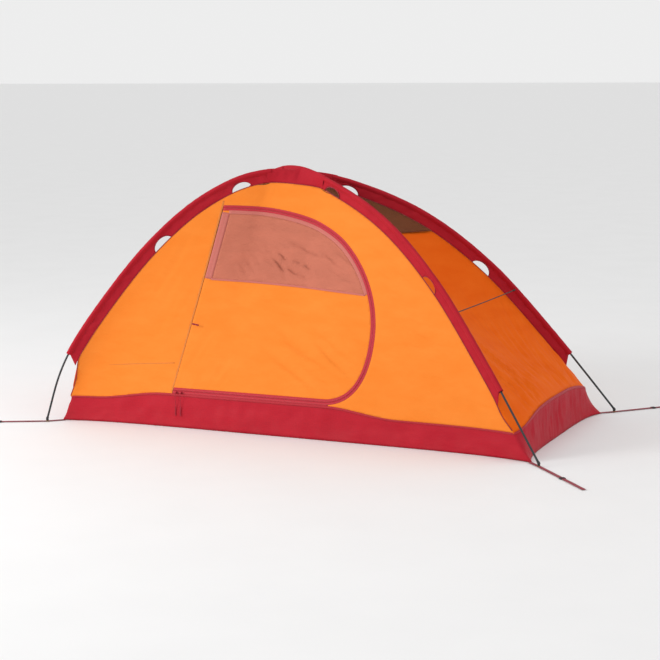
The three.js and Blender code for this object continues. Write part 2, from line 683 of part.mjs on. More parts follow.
// ---------------------------------------------------------------- pole sleeves
// A tunnel round the pole with a fin down to the roof seam, and half-moons cut in the fin.
function sleeve(leg) {
  const start = alongPole(leg, SLEEVE_START);
  const end = alongPole(leg, distanceAtHeight(leg, SLEEVE_END_HEIGHT[leg.side]));
  const tunnel = rodAlong(leg.pole, start, end, SLEEVE_RADIUS, SLEEVE_STEPS, SLEEVE_SIDES);
  const finDrop = FIN_WIDTH - FIN_CLEARANCE;
  const slant = leg.direction * SLEEVE_SLANT;
  const fin = new THREE.BoxGeometry(finDrop, 1, FABRIC, 1, SLEEVE_STEPS, 1);
  fin.translate(-finDrop / 2, 0.5, 0);
  const position = fin.attributes.position;
  for (let i = 0; i < position.count; i += 1) {
    const depth = -position.getX(i) / finDrop;
    position.setY(i, mix(start, end + slant * depth, position.getY(i)));
  }
  let made = tunnel.add(toSolid(bendAlong(leg.pole, fin)));
  for (const place of MOON_PLACES[leg.side]) {
    const moon = new THREE.CylinderGeometry(MOON_RADIUS, MOON_RADIUS, FABRIC * 8, 12);
    moon.rotateX(Math.PI / 2);
    moon.scale(MOON_DEPTH / MOON_RADIUS, 1, 1);
    moon.translate(-FIN_WIDTH, alongPole(leg, place), 0);
    made = made.subtract(toSolid(bendAlong(leg.pole, moon)));
  }
  const past = (leg.direction * SLEEVE_SLANT) / 2;
  return made.subtract(rodAlong(leg.pole, start - past, end + past, CHANNEL_RADIUS, SLEEVE_STEPS));
}
for (const [name, leg] of Object.entries(LEGS)) addPiece(`sleeve_${name}`, sleeve(leg), redCloth);

// ---------------------------------------------------------------- crown patch
const DOME_RINGS = 4;
const DOME_SIDES = 16;

// The cap's outside, or the hollow under it when a wall thickness is given.
function crownDome(wallThickness) {
  const { x, y, rise, skirt } = CROWN_PATCH;
  const below = wallThickness > 0 ? -0.2 : 0; // the hollow runs on below the rim
  const points = [new THREE.Vector2(0, below), new THREE.Vector2(1, below)];
  for (let i = 0; i <= DOME_RINGS; i += 1) {
    const angle = (i / DOME_RINGS) * (Math.PI / 2);
    points.push(new THREE.Vector2(i === DOME_RINGS ? 0 : Math.cos(angle), Math.sin(angle)));
  }
  const dome = new THREE.LatheGeometry(points, DOME_SIDES).rotateX(Math.PI / 2);
  dome.scale(x - wallThickness, y - wallThickness, rise + skirt - wallThickness);
  return toSolid(dome.translate(CROWN_SHIFT, 0, CROWN_HEIGHT - skirt));
}
let crown = crownDome(0).subtract(crownDome(FABRIC));
for (const pole of Object.values(POLES)) {
  const reach = CROWN_PATCH.x + SLEEVE_START;
  const [from, to] = [pole.crossing - reach, pole.crossing + reach];
  crown = crown.subtract(rodAlong(pole, from, to, CHANNEL_RADIUS, SLEEVE_STEPS));
}
addPiece("crown_patch", crown, redCloth);

// ---------------------------------------------------------------- corner straps
// A flat strip along a bent line.
function stripShape(points, width) {
  const left = [];
  const right = [];
  points.forEach((point, i) => {
    const before = points[Math.max(0, i - 1)];
    const after = points[Math.min(points.length - 1, i + 1)];
    const along = after.clone().sub(before).normalize();
    const across = new THREE.Vector2(-along.y, along.x).multiplyScalar(width / 2);
    left.push(point.clone().add(across));
    right.push(point.clone().sub(across));
  });
  return new THREE.Shape([...left, ...right.reverse()]);
}

function strapLine(leg) {
  const foot = footOf(leg);
  const { angle, tail } = STRAPS[leg.side];
  const turn = THREE.MathUtils.degToRad(angle);
  const direction = new THREE.Vector2(leg.sx * Math.cos(turn), leg.sy * Math.sin(turn));
  return { foot, direction, tail };
}

function cornerStrap(leg) {
  const { foot, direction, tail } = strapLine(leg);
  const corner = new THREE.Vector2(leg.sx * FLOOR_HALF_X, leg.sy * FLOOR_HALF_Y);
  const inner = corner.clone().lerp(foot, (STRAP_WIDTH / 2 + GAP) / corner.distanceTo(foot));
  const outer = foot.clone().addScaledVector(direction, tail);
  const shape = stripShape([inner, foot, outer], STRAP_WIDTH);
  shape.holes.push(new THREE.Path().absarc(foot.x, foot.y, EYELET_BARREL + GAP, 0, Math.PI * 2, false));
  const across = { depth: STRAP_THICKNESS, bevelEnabled: false, curveSegments: 6 };
  const strap = new THREE.ExtrudeGeometry(shape, across);
  return toSolid(strap.translate(0, 0, STRAP_HEIGHT));
}

// A rivet-like ring through the strap: a flange below, a barrel, and a flange above.
function eyelet(leg) {
  const low = STRAP_HEIGHT - GAP;
  const high = STRAP_HEIGHT + STRAP_THICKNESS + GAP;
  return turnedOnFoot(leg, [
    [EYELET_HOLE, low - FLANGE_THICKNESS],
    [EYELET_FLANGE, low - FLANGE_THICKNESS],
    [EYELET_FLANGE, low],
    [EYELET_BARREL, low],
    [EYELET_BARREL, high],
    [EYELET_FLANGE, high],
    [EYELET_FLANGE, high + FLANGE_THICKNESS],
    [EYELET_HOLE, high + FLANGE_THICKNESS],
    [EYELET_HOLE, low - FLANGE_THICKNESS],
  ], 10);
}

// A ladder-lock: a small frame that slides on the webbing, with an open window above it.
function buckle(leg) {
  const { foot, direction } = strapLine(leg);
  const passage = STRAP_WIDTH + 2 * BUCKLE_CLEARANCE;
  const place = (size, along, height) => {
    const geometry = new THREE.BoxGeometry(...size).translate(along, 0, height);
    geometry.rotateZ(Math.atan2(direction.y, direction.x));
    geometry.translate(foot.x + direction.x * BUCKLE_PLACE, foot.y + direction.y * BUCKLE_PLACE, 0);
    return toSolid(geometry);
  };
  const body = [BUCKLE_LENGTH, passage + 2 * BUCKLE_WALL, BUCKLE_HEIGHT];
  const slot = [BUCKLE_LENGTH + BUCKLE_WALL, passage, STRAP_THICKNESS + 2 * BUCKLE_CLEARANCE];
  const above = [(BUCKLE_LENGTH - BUCKLE_WALL) / 2, STRAP_WIDTH - GAP, BUCKLE_HEIGHT];
  return place(body, 0, BUCKLE_LIFT + BUCKLE_HEIGHT / 2)
    .subtract(place(slot, 0, STRAP_HEIGHT + STRAP_THICKNESS / 2))
    .subtract(place(above, BUCKLE_WALL / 2, BUCKLE_HEIGHT));
}

for (const [name, leg] of Object.entries(LEGS)) {
  addPiece(`corner_strap_${name}`, cornerStrap(leg), webbing);
  addPiece(`eyelet_${name}`, eyelet(leg), brass);
  addPiece(`ladder_lock_${name}`, buckle(leg), blackPlastic);
}

// ---------------------------------------------------------------- end ties
// A thin cord across the right end, from one sleeve to the other, with a hook at the back.
function endTie(front, back) {
  const legAt = (leg) => frameAt(leg.pole, alongPole(leg, distanceAtHeight(leg, TIE_HEIGHT))).point;
  const from = legAt(front);
  const to = legAt(back);
  const line = to.clone().sub(from).normalize();
  from.addScaledVector(line, SLEEVE_RADIUS + SLEEVE_WALL);
  to.addScaledVector(line, -SLEEVE_RADIUS - SLEEVE_WALL);
  const hookFrom = to.clone().addScaledVector(line, -TIE_HOOK_LENGTH);
  const cordEnd = hookFrom.clone().addScaledVector(line, -GAP);
  const rod = (a, b, radius) => {
    const geometry = new THREE.CylinderGeometry(radius, radius, a.distanceTo(b), 8);
    geometry.applyQuaternion(new THREE.Quaternion().setFromUnitVectors(new THREE.Vector3(0, 1, 0), line));
    const middle = a.clone().lerp(b, 0.5);
    return toSolid(geometry.translate(middle.x, middle.y, middle.z));
  };
  return { cord: rod(from, cordEnd, TIE_DIAMETER / 2), hook: rod(hookFrom, to, TIE_DIAMETER) };
}
const rightTie = endTie(LEGS.front_right, LEGS.back_right);
addPiece("end_tie_cord", rightTie.cord, elastic);
addPiece("end_tie_hook", rightTie.hook, blackPlastic);

// ---------------------------------------------------------------- zip sliders, pulls and toggle
// Each slider stands on the coil of the zip's lower run, and its pull hangs clear of the tub.
const tubFoot = -(floorY(HINGE_BOTTOM_X) - FLOOR_EDGE_INSET);
const tubTop = -(floorY(HINGE_BOTTOM_X) - TUB_LEAN);
const coilHeight = ZIP_BOTTOM + GAP + ZIP_TAPE + ZIP_OPENING / 2;

for (const [name, fromHinge] of Object.entries(SLIDER_PLACES)) {
  const x = HINGE_BOTTOM_X + fromHinge;
  const { width, depth, height } = SLIDER_SIZE;
  const bodyZ = coilHeight - height / 2;
  const bodyY = tubTop - SLIDER_CLEARANCE - depth / 2;
  const pullTop = coilHeight - height - GAP;
  const pullY = Math.min(tubFoot, bodyY - depth / 2) - SLIDER_CLEARANCE - GRIP_SIZE.depth / 2;
  const bridgeFrom = bodyY - pullY + PULL_SIZE.depth / 2;
  const bridgeZ = pullTop + GAP + PULL_BRIDGE / 2;
  const bridge = block([PULL_SIZE.width, bridgeFrom, PULL_BRIDGE], [x, bodyY - bridgeFrom / 2, bridgeZ]);
  const body = block([width, depth, height], [x, bodyY, bodyZ]);
  addPiece(`zip_slider_${name}`, body.add(bridge), blackPlastic);
  const hanging = (size, z) => block([size.width, size.depth, size.length], [x, pullY, z]);
  const grip = hanging(GRIP_SIZE, pullTop - PULL_SIZE.length + GRIP_SIZE.length / 2);
  addPiece(`zip_pull_${name}`, hanging(PULL_SIZE, pullTop - PULL_SIZE.length / 2).add(grip), webbing);
}

// A bar beside the hinge that keeps the rolled door, lying across just outside the door's cloth.
function toggle() {
  const hingeY = mix(tubTop, roofAtHinge.y, hingeShare(TOGGLE_HEIGHT));
  const bar = new THREE.CylinderGeometry(TOGGLE_RADIUS, TOGGLE_RADIUS, TOGGLE_LENGTH, 10);
  const x = hingeX(TOGGLE_HEIGHT) + TOGGLE_STAND_OFF + TOGGLE_LENGTH / 2;
  return toSolid(bar.rotateZ(Math.PI / 2).translate(x, hingeY - TOGGLE_STAND_OFF, TOGGLE_HEIGHT));
}
addPiece("door_toggle", toggle(), webbing);

export default tent;
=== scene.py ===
# %% [markdown]
# # A two-pole tent, finished over its frame
# The frame already holds every part of the tent at its true size and place: poles, tips, cloth
# panels as plain solids, straps and buckles. This lesson dresses that frame. Each cloth panel
# becomes a thin curved sheet with its own weave and folds, each hard part a rounded, well
# finished piece, and the plain solids that the new pieces stand for are hidden.

import bmesh
import bpy
import json
import math
import numpy as np
from mathutils import Matrix, Vector, geometry, noise
from mathutils.bvhtree import BVHTree


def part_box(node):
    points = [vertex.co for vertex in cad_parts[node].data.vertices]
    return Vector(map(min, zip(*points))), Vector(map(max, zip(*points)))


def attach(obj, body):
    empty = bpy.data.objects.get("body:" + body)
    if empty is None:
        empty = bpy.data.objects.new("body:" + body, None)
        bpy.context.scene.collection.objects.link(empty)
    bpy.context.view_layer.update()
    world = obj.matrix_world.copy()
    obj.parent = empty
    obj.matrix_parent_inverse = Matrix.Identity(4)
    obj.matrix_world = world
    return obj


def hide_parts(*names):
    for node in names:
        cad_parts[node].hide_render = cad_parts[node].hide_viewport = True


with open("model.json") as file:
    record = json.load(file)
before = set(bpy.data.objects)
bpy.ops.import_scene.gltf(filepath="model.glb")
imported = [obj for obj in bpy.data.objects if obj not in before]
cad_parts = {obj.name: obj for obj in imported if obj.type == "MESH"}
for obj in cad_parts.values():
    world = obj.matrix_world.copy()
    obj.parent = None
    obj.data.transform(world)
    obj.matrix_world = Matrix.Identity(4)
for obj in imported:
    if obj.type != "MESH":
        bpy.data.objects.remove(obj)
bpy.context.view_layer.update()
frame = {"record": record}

# %% [markdown]
# ## Camera
# The camera comes first, because the one free cord is measured against what it sees. It stands
# at about a grown person's height, well back, and looks a little down at the tent's front right
# corner through a long lens, so that the far end isn't much smaller than the near one.

# %% Camera
CAMERA_PLACE = Vector((2.943, -6.626, 1.500))
CAMERA_YAW = 0.4196
CAMERA_PITCH = 0.1530
CAMERA_ROLL = -0.006
camera_data = bpy.data.cameras.new("camera")
camera_data.lens = 92.7
camera_data.sensor_width = 36
camera = bpy.data.objects.new("camera", camera_data)
camera.location = CAMERA_PLACE
camera_turn = Matrix.Rotation(CAMERA_YAW, 3, "Z") @ Matrix.Rotation(math.pi / 2 - CAMERA_PITCH, 3, "X")
camera.rotation_euler = (camera_turn @ Matrix.Rotation(CAMERA_ROLL, 3, "Z")).to_euler()
bpy.context.collection.objects.link(camera)
bpy.context.scene.camera = camera

# %% [markdown]
# ## Small helpers for finished objects
# Everything made below ends as an object at the origin with its place in its mesh. These two
# helpers turn a bmesh into such an object and tie it to the frame: which body it rides on, and
# which plain solids it replaces, which are hidden.

# %% Helpers: bmesh to object
def as_object(name, bm, material=None, smooth=True):
    mesh = bpy.data.meshes.new(name)
    bm.to_mesh(mesh)
    bm.free()
    for face in mesh.polygons:
        face.use_smooth = smooth
    piece = bpy.data.objects.new(name, mesh)
    bpy.context.collection.objects.link(piece)
    if material:
        mesh.materials.append(material)
    return piece


def dress(piece, body, finish, *nodes):
    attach(piece, body)
    if nodes:
        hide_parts(*nodes)
    return piece


THICKNESS = {"canopy": 0.0009, "net": 0.0006, "window": 0.0005, "tape": 0.0008, "seam": 0.0006,
             "tub": 0.0011, "sleeve": 0.0010, "webbing": 0.0012}


def thicken(piece, thickness, offset=0):
    wall = piece.modifiers.new("wall", "SOLIDIFY")
    wall.thickness = thickness
    wall.offset = offset
    return piece


def middle_of(node):
    low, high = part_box(node)
    return (Vector(low) + Vector(high)) / 2


# %% [markdown]
# ## The tie cord across the right end
# A thin braided line runs taut from the front sleeve to the back one, where it ends in a small
# hook. It is the only free cord. A curve with one open spline is its honest form, because its own
# line is the cord's centreline.

# %% Tie cord
TIE_RADIUS = 0.0021
tie_low, tie_high = (Vector(corner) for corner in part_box("end_tie_cord"))
tie_start = Vector(((tie_low.x + tie_high.x) / 2, tie_low.y, (tie_low.z + tie_high.z) / 2))
tie_end = Vector((tie_start.x, tie_high.y, tie_start.z))
tie_curve = bpy.data.curves.new("tie_cord", "CURVE")
tie_curve.dimensions = "3D"
# The depth is multiplied by each point's radius, so the curve's box ends at the cord's skin.
tie_curve.bevel_depth = 1.0
tie_curve.bevel_resolution = 3
tie_curve.use_fill_caps = True
TIE_POINTS = 24
TIE_SAG = 0.0015
tie_spline = tie_curve.splines.new("POLY")
tie_spline.points.add(TIE_POINTS - 1)
for i, point in enumerate(tie_spline.points):
    share = i / (TIE_POINTS - 1)
    place = tie_start.lerp(tie_end, share)
    place.z -= TIE_SAG * 4 * share * (1 - share)
    point.co = (*place, 1)
    point.radius = TIE_RADIUS
tie_cord = bpy.data.objects.new("tie_cord", tie_curve)
bpy.context.collection.objects.link(tie_cord)
dress(tie_cord, "tent", "tie_cord", "end_tie_cord")
print("tie cord", round((tie_end - tie_start).length, 3), "m")

# %% [markdown]
# ## Where the poles run
# The cloth hangs from the poles, so the poles' bent lines are worked out first, from the same
# heights the frame was made from. A centripetal Catmull-Rom spline gives the even bend of a
# springy tube without overshooting at the feet.

# %% Pole lines
CROWN = Vector((middle_of("crown_patch").x, 0, 1.065))
FOOT_HEIGHT = 0.014
UNDER_DROP = -0.005
OVER_RISE = 0.011
CROSSING_SPREAD = 0.130
SPAN_STEPS = 40
LEG_SHAPES = {
    "left": ((0.2, 0.987), (0.4, 0.887), (0.6, 0.705), (0.8, 0.446), (0.9, 0.288), (0.95, 0.176), (1, 0)),
    "right": ((0.2, 0.934), (0.4, 0.813), (0.6, 0.611), (0.8, 0.324), (0.9, 0.164), (1, 0)),
}


def mix(a, b, t):
    return a + (b - a) * t


def spline_through(points, count):
    """Evenly spaced points on a centripetal Catmull-Rom line through the given ones."""
    knots = [2 * points[0] - points[1], *points, 2 * points[-1] - points[-2]]
    line = []
    for p0, p1, p2, p3 in zip(knots, knots[1:], knots[2:], knots[3:]):
        d0, d1, d2 = (max((b - a).length, 1e-6) ** 0.5 for a, b in ((p0, p1), (p1, p2), (p2, p3)))
        out = ((p1 - p0) / d0 - (p2 - p0) / (d0 + d1) + (p2 - p1) / d1) * d1
        into = ((p2 - p1) / d1 - (p3 - p1) / (d1 + d2) + (p3 - p2) / d2) * d1
        for step in range(SPAN_STEPS):
            t = step / SPAN_STEPS
            cubic = 2 * p1 - 2 * p2 + out + into
            square = -3 * p1 + 3 * p2 - 2 * out - into
            line.append(p1 + out * t + square * t ** 2 + cubic * t ** 3)
    line.append(points[-1].copy())
    rough = np.array(line)
    walked = np.concatenate([[0], np.cumsum(np.linalg.norm(np.diff(rough, axis=0), axis=1))])
    places = np.linspace(0, walked[-1], count)
    return np.stack([np.interp(places, walked, rough[:, axis]) for axis in range(3)], axis=1), walked[-1]


def leg_points(leg):
    foot = middle_of("eyelet_" + leg)
    points = []
    for reach, height in LEG_SHAPES[leg.split("_")[1]]:
        place = CROWN.lerp(foot, reach)
        points.append(Vector((place.x, place.y, mix(FOOT_HEIGHT, CROWN.z, height))))
    return points


class Pole:
    """A bent pole from the foot of its first leg, over the crossing, to its other foot."""

    COUNT = 1200
    REACH = 0.006

    def __init__(self, first, second, lift):
        points = [*reversed(leg_points(first)), CROWN, *leg_points(second)]
        self.line, self.length = spline_through(points, self.COUNT)
        away = np.hypot(self.line[:, 0] - CROWN.x, self.line[:, 1])
        self.crossing = self.length * int(away.argmin()) / (self.COUNT - 1)
        self.line[:, 2] += lift * np.exp(-((away / CROSSING_SPREAD) ** 2))

    def point(self, distance):
        place = min(max(distance / self.length, 0), 1) * (self.COUNT - 1)
        index = min(int(place), self.COUNT - 2)
        return Vector(self.line[index]).lerp(Vector(self.line[index + 1]), place - index)

    def frame(self, distance):
        point = self.point(distance)
        along = (self.point(distance + self.REACH) - self.point(distance - self.REACH)).normalized()
        side = along.cross(Vector((0, 0, 1))).normalized()
        return point, along, side, side.cross(along)


poles = {
    "under": Pole("front_left", "back_right", UNDER_DROP),
    "over": Pole("back_left", "front_right", OVER_RISE),
}


class Leg:
    """One half of a pole; distances are counted from the crossing down to the foot."""

    def __init__(self, name, pole, direction):
        self.name = name
        self.end = name.split("_")[1]
        self.pole = pole
        self.direction = direction
        self.sx = -1 if "left" in name else 1
        self.sy = -1 if "front" in name else 1
        self.length = pole.crossing if direction < 0 else pole.length - pole.crossing

    def frame(self, distance):
        return self.pole.frame(self.pole.crossing + self.direction * distance)

    def at_height(self, height):
        distance = self.length
        while self.frame(distance)[0].z < height:
            distance -= 0.001
        return distance


legs = {
    "front_left": Leg("front_left", poles["under"], -1),
    "back_right": Leg("back_right", poles["under"], 1),
    "back_left": Leg("back_left", poles["over"], -1),
    "front_right": Leg("front_right", poles["over"], 1),
}
print("pole length", round(poles["under"].length, 3), "m")

# %% [markdown]
# ## Guide surfaces for the cloth
# Each wall is a sheet stretched between two edges: the tub's top below, and above a line that
# runs up one leg's seam, past the crown and down the other's. A grid whose rows run from the
# lower edge to the upper one gives that surface. Nothing shows it: pattern pieces are cut flat
# and laid on it by a ray, as a tailor lays a pattern on a form.

# %% Tub and seam lines
FLOOR_HALF_X = 1.040
FLOOR_HALF_Y = 0.500
FLOOR_BOW_X = 0.026
FLOOR_BOW_Y = 0.048
TUB_LEAN = 0.014
TUB_HEIGHT = 0.104
TUB_DOOR_RISE = 0.034
TUB_END_RISE = 0.062
TUB_RISE_RUN = 0.330
TUB_DOOR_MARGIN = 0.033
FIN_WIDTH = 0.048
SLEEVE_START = 0.138
SLEEVE_END_HEIGHT = {"left": 0.292, "right": 0.262}
CORNER_TUCK_X = {"left": 0.004, "right": 0.048}
# Across the tent the tuck is below zero: the corners stand out, which closes the corner seams.
CORNER_TUCK_Y = -0.006
CORNER_SEAM_BOW = 0.009
CROWN_SEAM_DROP = 0.054
CROWN_SEAM_OUT = (0.050, 0.078)
END_FAN = 0.62
HINGE_BOTTOM_X = -0.552
HINGE_TOP_X = -0.423
DOOR_HEEL_X = 0.150


def bow(share, power):
    return 1 - abs(share) ** power


def smooth_step(value, low, high):
    t = min(max((value - low) / (high - low), 0), 1)
    return t * t * (3 - 2 * t)


def floor_y(x):
    return FLOOR_HALF_Y - FLOOR_BOW_Y * bow(x / FLOOR_HALF_X, 6)


def floor_x(y):
    return FLOOR_HALF_X - FLOOR_BOW_X * bow(y / FLOOR_HALF_Y, 4)


def tub_top_front(x):
    start = HINGE_BOTTOM_X - TUB_DOOR_MARGIN
    left = smooth_step(x, start - TUB_RISE_RUN, start)
    right = 1 - smooth_step(x, DOOR_HEEL_X, DOOR_HEEL_X + TUB_RISE_RUN)
    return TUB_HEIGHT + TUB_DOOR_RISE * left * right


def tub_top_end(y):
    return TUB_HEIGHT + TUB_END_RISE * bow(min(abs(y) / (FLOOR_HALF_Y - TUB_LEAN - CORNER_TUCK_Y), 1), 3)


def edge_place(share, along, lean, tuck, sign):
    """Place along one side and distance out from the middle, for a share of its length."""
    tuck_x = tuck * CORNER_TUCK_X["right" if (share if along == 0 else sign) > 0 else "left"]
    tuck_y = tuck * CORNER_TUCK_Y
    near_corner = abs(share) ** 10
    if along == 0:
        out = floor_y(share * FLOOR_HALF_X) - lean - tuck_y * near_corner
        return share * (FLOOR_HALF_X - lean - tuck_x), out
    out = floor_x(share * FLOOR_HALF_Y) - lean - tuck_x * near_corner
    return share * (FLOOR_HALF_Y - lean - tuck_y), out


def leg_seam(leg):
    stop = leg.at_height(SLEEVE_END_HEIGHT[leg.end])
    points = []
    for distance in np.linspace(SLEEVE_START, stop, 17):
        point, _, _, up = leg.frame(distance)
        points.append(point - up * FIN_WIDTH)
    corner = Vector((leg.sx * (FLOOR_HALF_X - TUB_LEAN - CORNER_TUCK_X[leg.end]),
                     leg.sy * (FLOOR_HALF_Y - TUB_LEAN - CORNER_TUCK_Y), TUB_HEIGHT + 0.004))
    bowed = points[-1].lerp(corner, 0.55) - Vector((leg.sx * CORNER_SEAM_BOW, 0, 0))
    return [*points, bowed, corner]


class Wall:
    """A canopy wall: along is the axis it runs along, sign the side of the tent it is on."""

    def __init__(self, name, along, sign, top, low, high):
        self.name = name
        self.along = along
        self.sign = sign
        self.top = top
        crown = CROWN - Vector((0, 0, CROWN_SEAM_DROP))
        crown[1 - along] += sign * CROWN_SEAM_OUT[along]
        points = [*reversed(leg_seam(legs[low])), crown, *leg_seam(legs[high])]
        self.edge, _ = spline_through(points, 600)
        hinge = HINGE_BOTTOM_X / (FLOOR_HALF_X - TUB_LEAN)
        fan_front = (HINGE_TOP_X / HINGE_BOTTOM_X - hinge ** 4) / (1 - hinge ** 4)
        self.fan = fan_front if along == 0 else END_FAN
        self.tree = self.surface()

    def lower(self, share):
        place, out = edge_place(share, self.along, TUB_LEAN, 1, self.sign)
        out *= self.sign
        point = Vector((place, out, 0)) if self.along == 0 else Vector((out, place, 0))
        point.z = self.top(place)
        return point

    def upper(self, share):
        fan = self.fan + (1 - self.fan) * share ** 4
        place = fan * edge_place(share, self.along, TUB_LEAN, 1, self.sign)[0]
        keys = self.edge[:, self.along]
        return Vector([np.interp(place, keys, self.edge[:, axis]) for axis in range(3)])

    def surface(self):
        bm = bmesh.new()
        bmesh.ops.create_grid(bm, x_segments=200, y_segments=60, size=1)
        for vertex in bm.verts:
            share, rise = math.sin(vertex.co.x * math.pi / 2), vertex.co.y * 0.515 + 0.5
            low, high = self.lower(share), self.upper(share)
            vertex.co = low.lerp(high, rise)
            sag = 0.010 * math.sin(math.pi * min(max(rise, 0), 1)) * (1 - share ** 2)
            vertex.co[1 - self.along] -= self.sign * sag
        tree = BVHTree.FromBMesh(bm)
        bm.free()
        return tree

    def lay(self, place, height):
        """The surface's point over a flat pattern's point, and its outward normal."""
        look = Vector((0, 0, 0))
        look[1 - self.along] = -self.sign
        for nudge in (1, 0.9985, 0.996, 0.99):
            start = Vector((0, 0, height))
            start[self.along] = place * nudge
            start[1 - self.along] = self.sign * 3
            point, normal, _, _ = self.tree.ray_cast(start, look)
            if point is not None:
                point[self.along] = place
                break
        if point is None:
            start[1 - self.along] = self.sign * (0.45 if self.along == 0 else 0.9)
            point, normal, _, _ = self.tree.find_nearest(start)
        if normal.dot(look) > 0:
            normal = -normal
        return point, normal

    def outline(self, steps=160):
        """The wall's flat pattern: the lower edge, then back along the upper one."""
        shares = np.sin(np.linspace(-math.pi / 2, math.pi / 2, steps))
        flat = [self.lower(s) for s in shares] + [self.upper(s) for s in reversed(shares)]
        return [(point[self.along], point.z) for point in flat]


walls = {
    "front": Wall("front", 0, -1, tub_top_front, "front_left", "front_right"),
    "back": Wall("back", 0, 1, lambda x: TUB_HEIGHT, "back_left", "back_right"),
    "left": Wall("left", 1, -1, tub_top_end, "front_left", "back_left"),
    "right": Wall("right", 1, 1, tub_top_end, "front_right", "back_right"),
}
print("front seam peak", [round(float(v), 3) for v in walls["front"].edge[:, 2].max(keepdims=True)])

# %% [markdown]
# ## Cutting, laying and sewing
# Cloth is cut as a flat grid trimmed to its pattern outline, with the rim moved exactly onto the
# outline, so an edge is as clean as a hot-knife cut. The flat coordinates stay as the UV map, in
# metres, and so the weave keeps its true size on every panel. Tapes, tubes and cords are a grid
# too: rolled along a line, with its long edges merged.

# %% Helpers: flat patterns
def inside_outline(points, outline):
    x, y = points[:, 0], points[:, 1]
    hit = np.zeros(len(points), bool)
    for (x0, y0), (x1, y1) in zip(outline, np.roll(outline, -1, axis=0)):
        crosses = (y0 > y) != (y1 > y)
        rise = (y1 - y0) if y1 != y0 else 1e-12
        hit ^= crosses & (x < (x1 - x0) * (y - y0) / rise + x0)
    return hit


def nearest_on(points, line, closed=True):
    """Nearest points on a line, their distance, and how far along the line they lie."""
    line = np.asarray(line, float)
    ends = np.roll(line, -1, axis=0) if closed else line[1:]
    starts = line if closed else line[:-1]
    run = ends - starts
    length = np.maximum((run ** 2).sum(1), 1e-18)
    t = np.clip(((points[:, None] - starts) * run).sum(2) / length, 0, 1)
    near = starts + t[..., None] * run
    gap = np.linalg.norm(points[:, None] - near, axis=2)
    best = gap.argmin(1)
    rows = np.arange(len(points))
    walked = np.concatenate([[0], np.cumsum(np.sqrt(length))])[:-1]
    return near[rows, best], gap[rows, best], walked[best] + t[rows, best] * np.sqrt(length[best])


def cut_cloth(outline, cell, holes=()):
    rims = [np.array(rim, float) for rim in (outline, *holes)]
    low, high = rims[0].min(0), rims[0].max(0)
    columns, rows = (int(math.ceil(v)) for v in (high - low) / cell)
    bm = bmesh.new()
    bmesh.ops.create_grid(bm, x_segments=columns, y_segments=rows, size=0.5)
    bmesh.ops.scale(bm, vec=(high[0] - low[0], high[1] - low[1], 1), verts=bm.verts)
    bmesh.ops.translate(bm, vec=(*((low + high) / 2), 0), verts=bm.verts)
    centres = np.array([face.calc_center_median()[:2] for face in bm.faces])
    keep = inside_outline(centres, rims[0])
    for hole in rims[1:]:
        keep &= ~inside_outline(centres, hole)
    waste = [face for face, kept in zip(bm.faces, keep) if not kept]
    bmesh.ops.delete(bm, geom=waste, context="FACES")
    rim_verts = [vertex for vertex in bm.verts if vertex.is_boundary]
    flat = np.array([vertex.co[:2] for vertex in rim_verts])
    found = [nearest_on(flat, rim) for rim in rims]
    choice = np.stack([gap for _, gap, _ in found]).argmin(0)
    for i, vertex in enumerate(rim_verts):
        vertex.co.x, vertex.co.y = found[choice[i]][0][i]
    inner = [vertex for vertex in bm.verts if not vertex.is_boundary]
    for _ in range(4):
        bmesh.ops.smooth_vert(bm, verts=inner, factor=0.4, use_axis_x=True, use_axis_y=True)
    uv = bm.loops.layers.uv.new("cloth")
    for face in bm.faces:
        for loop in face.loops:
            loop[uv].uv = loop.vert.co[:2]
    return bm


def lay_cloth(bm, surface, folds=None):
    """Moves a flat piece onto a surface, with folds standing off it along its normal."""
    flat = np.array([vertex.co[:2] for vertex in bm.verts])
    rise = folds(flat) if folds else np.zeros(len(flat))
    outward = Vector((0, 0, 0))
    for vertex, height in zip(bm.verts, rise):
        point, normal = surface(vertex.co.x, vertex.co.y)
        vertex.co = point + normal * float(height)
        outward += normal
    bm.normal_update()
    facing = sum((face.normal * face.calc_area() for face in bm.faces), Vector((0, 0, 0)))
    if facing.dot(outward) < 0:
        bmesh.ops.reverse_faces(bm, faces=bm.faces)
    return bm


def declare_sheet(piece, held="stretched", **more):
    """Prints the size the cloth was cut to: its own area, in its own bounding size."""
    mesh = piece.data
    area = sum(face.area for face in mesh.polygons)
    points = np.array([vertex.co for vertex in mesh.vertices])
    size = points.max(0) - points.min(0)
    width = float(max(size[0], size[1]))
    length = float(math.hypot(size[2], min(size[0], size[1])))
    length = max(length, area / width)
    area = max(min(area, width * length), 0.301 * width * length)
    print(piece.name, "cut", round(width, 3), "x", round(length, 3), "m, area", round(area, 3))


# %% Helpers: rolled and swept pieces
def rolled(place, stations, around, closed=True, capped=True):
    """A grid whose columns run along a line and whose rows go round it."""
    bm = bmesh.new()
    bmesh.ops.create_grid(bm, x_segments=stations, y_segments=around, size=0.5)
    uv = bm.loops.layers.uv.new("cloth")
    share = {vertex: (vertex.co.x + 0.5, vertex.co.y + 0.5) for vertex in bm.verts}
    made = {vertex: place(*at) for vertex, at in share.items()}
    for face in bm.faces:
        for loop in face.loops:
            loop[uv].uv = made[loop.vert][1]
    for vertex, (point, _) in made.items():
        vertex.co = point
    if closed:
        bmesh.ops.remove_doubles(bm, verts=bm.verts, dist=1e-6)
    if capped:
        bmesh.ops.holes_fill(bm, edges=[edge for edge in bm.edges if edge.is_boundary])
    bmesh.ops.recalc_face_normals(bm, faces=bm.faces)
    return bm


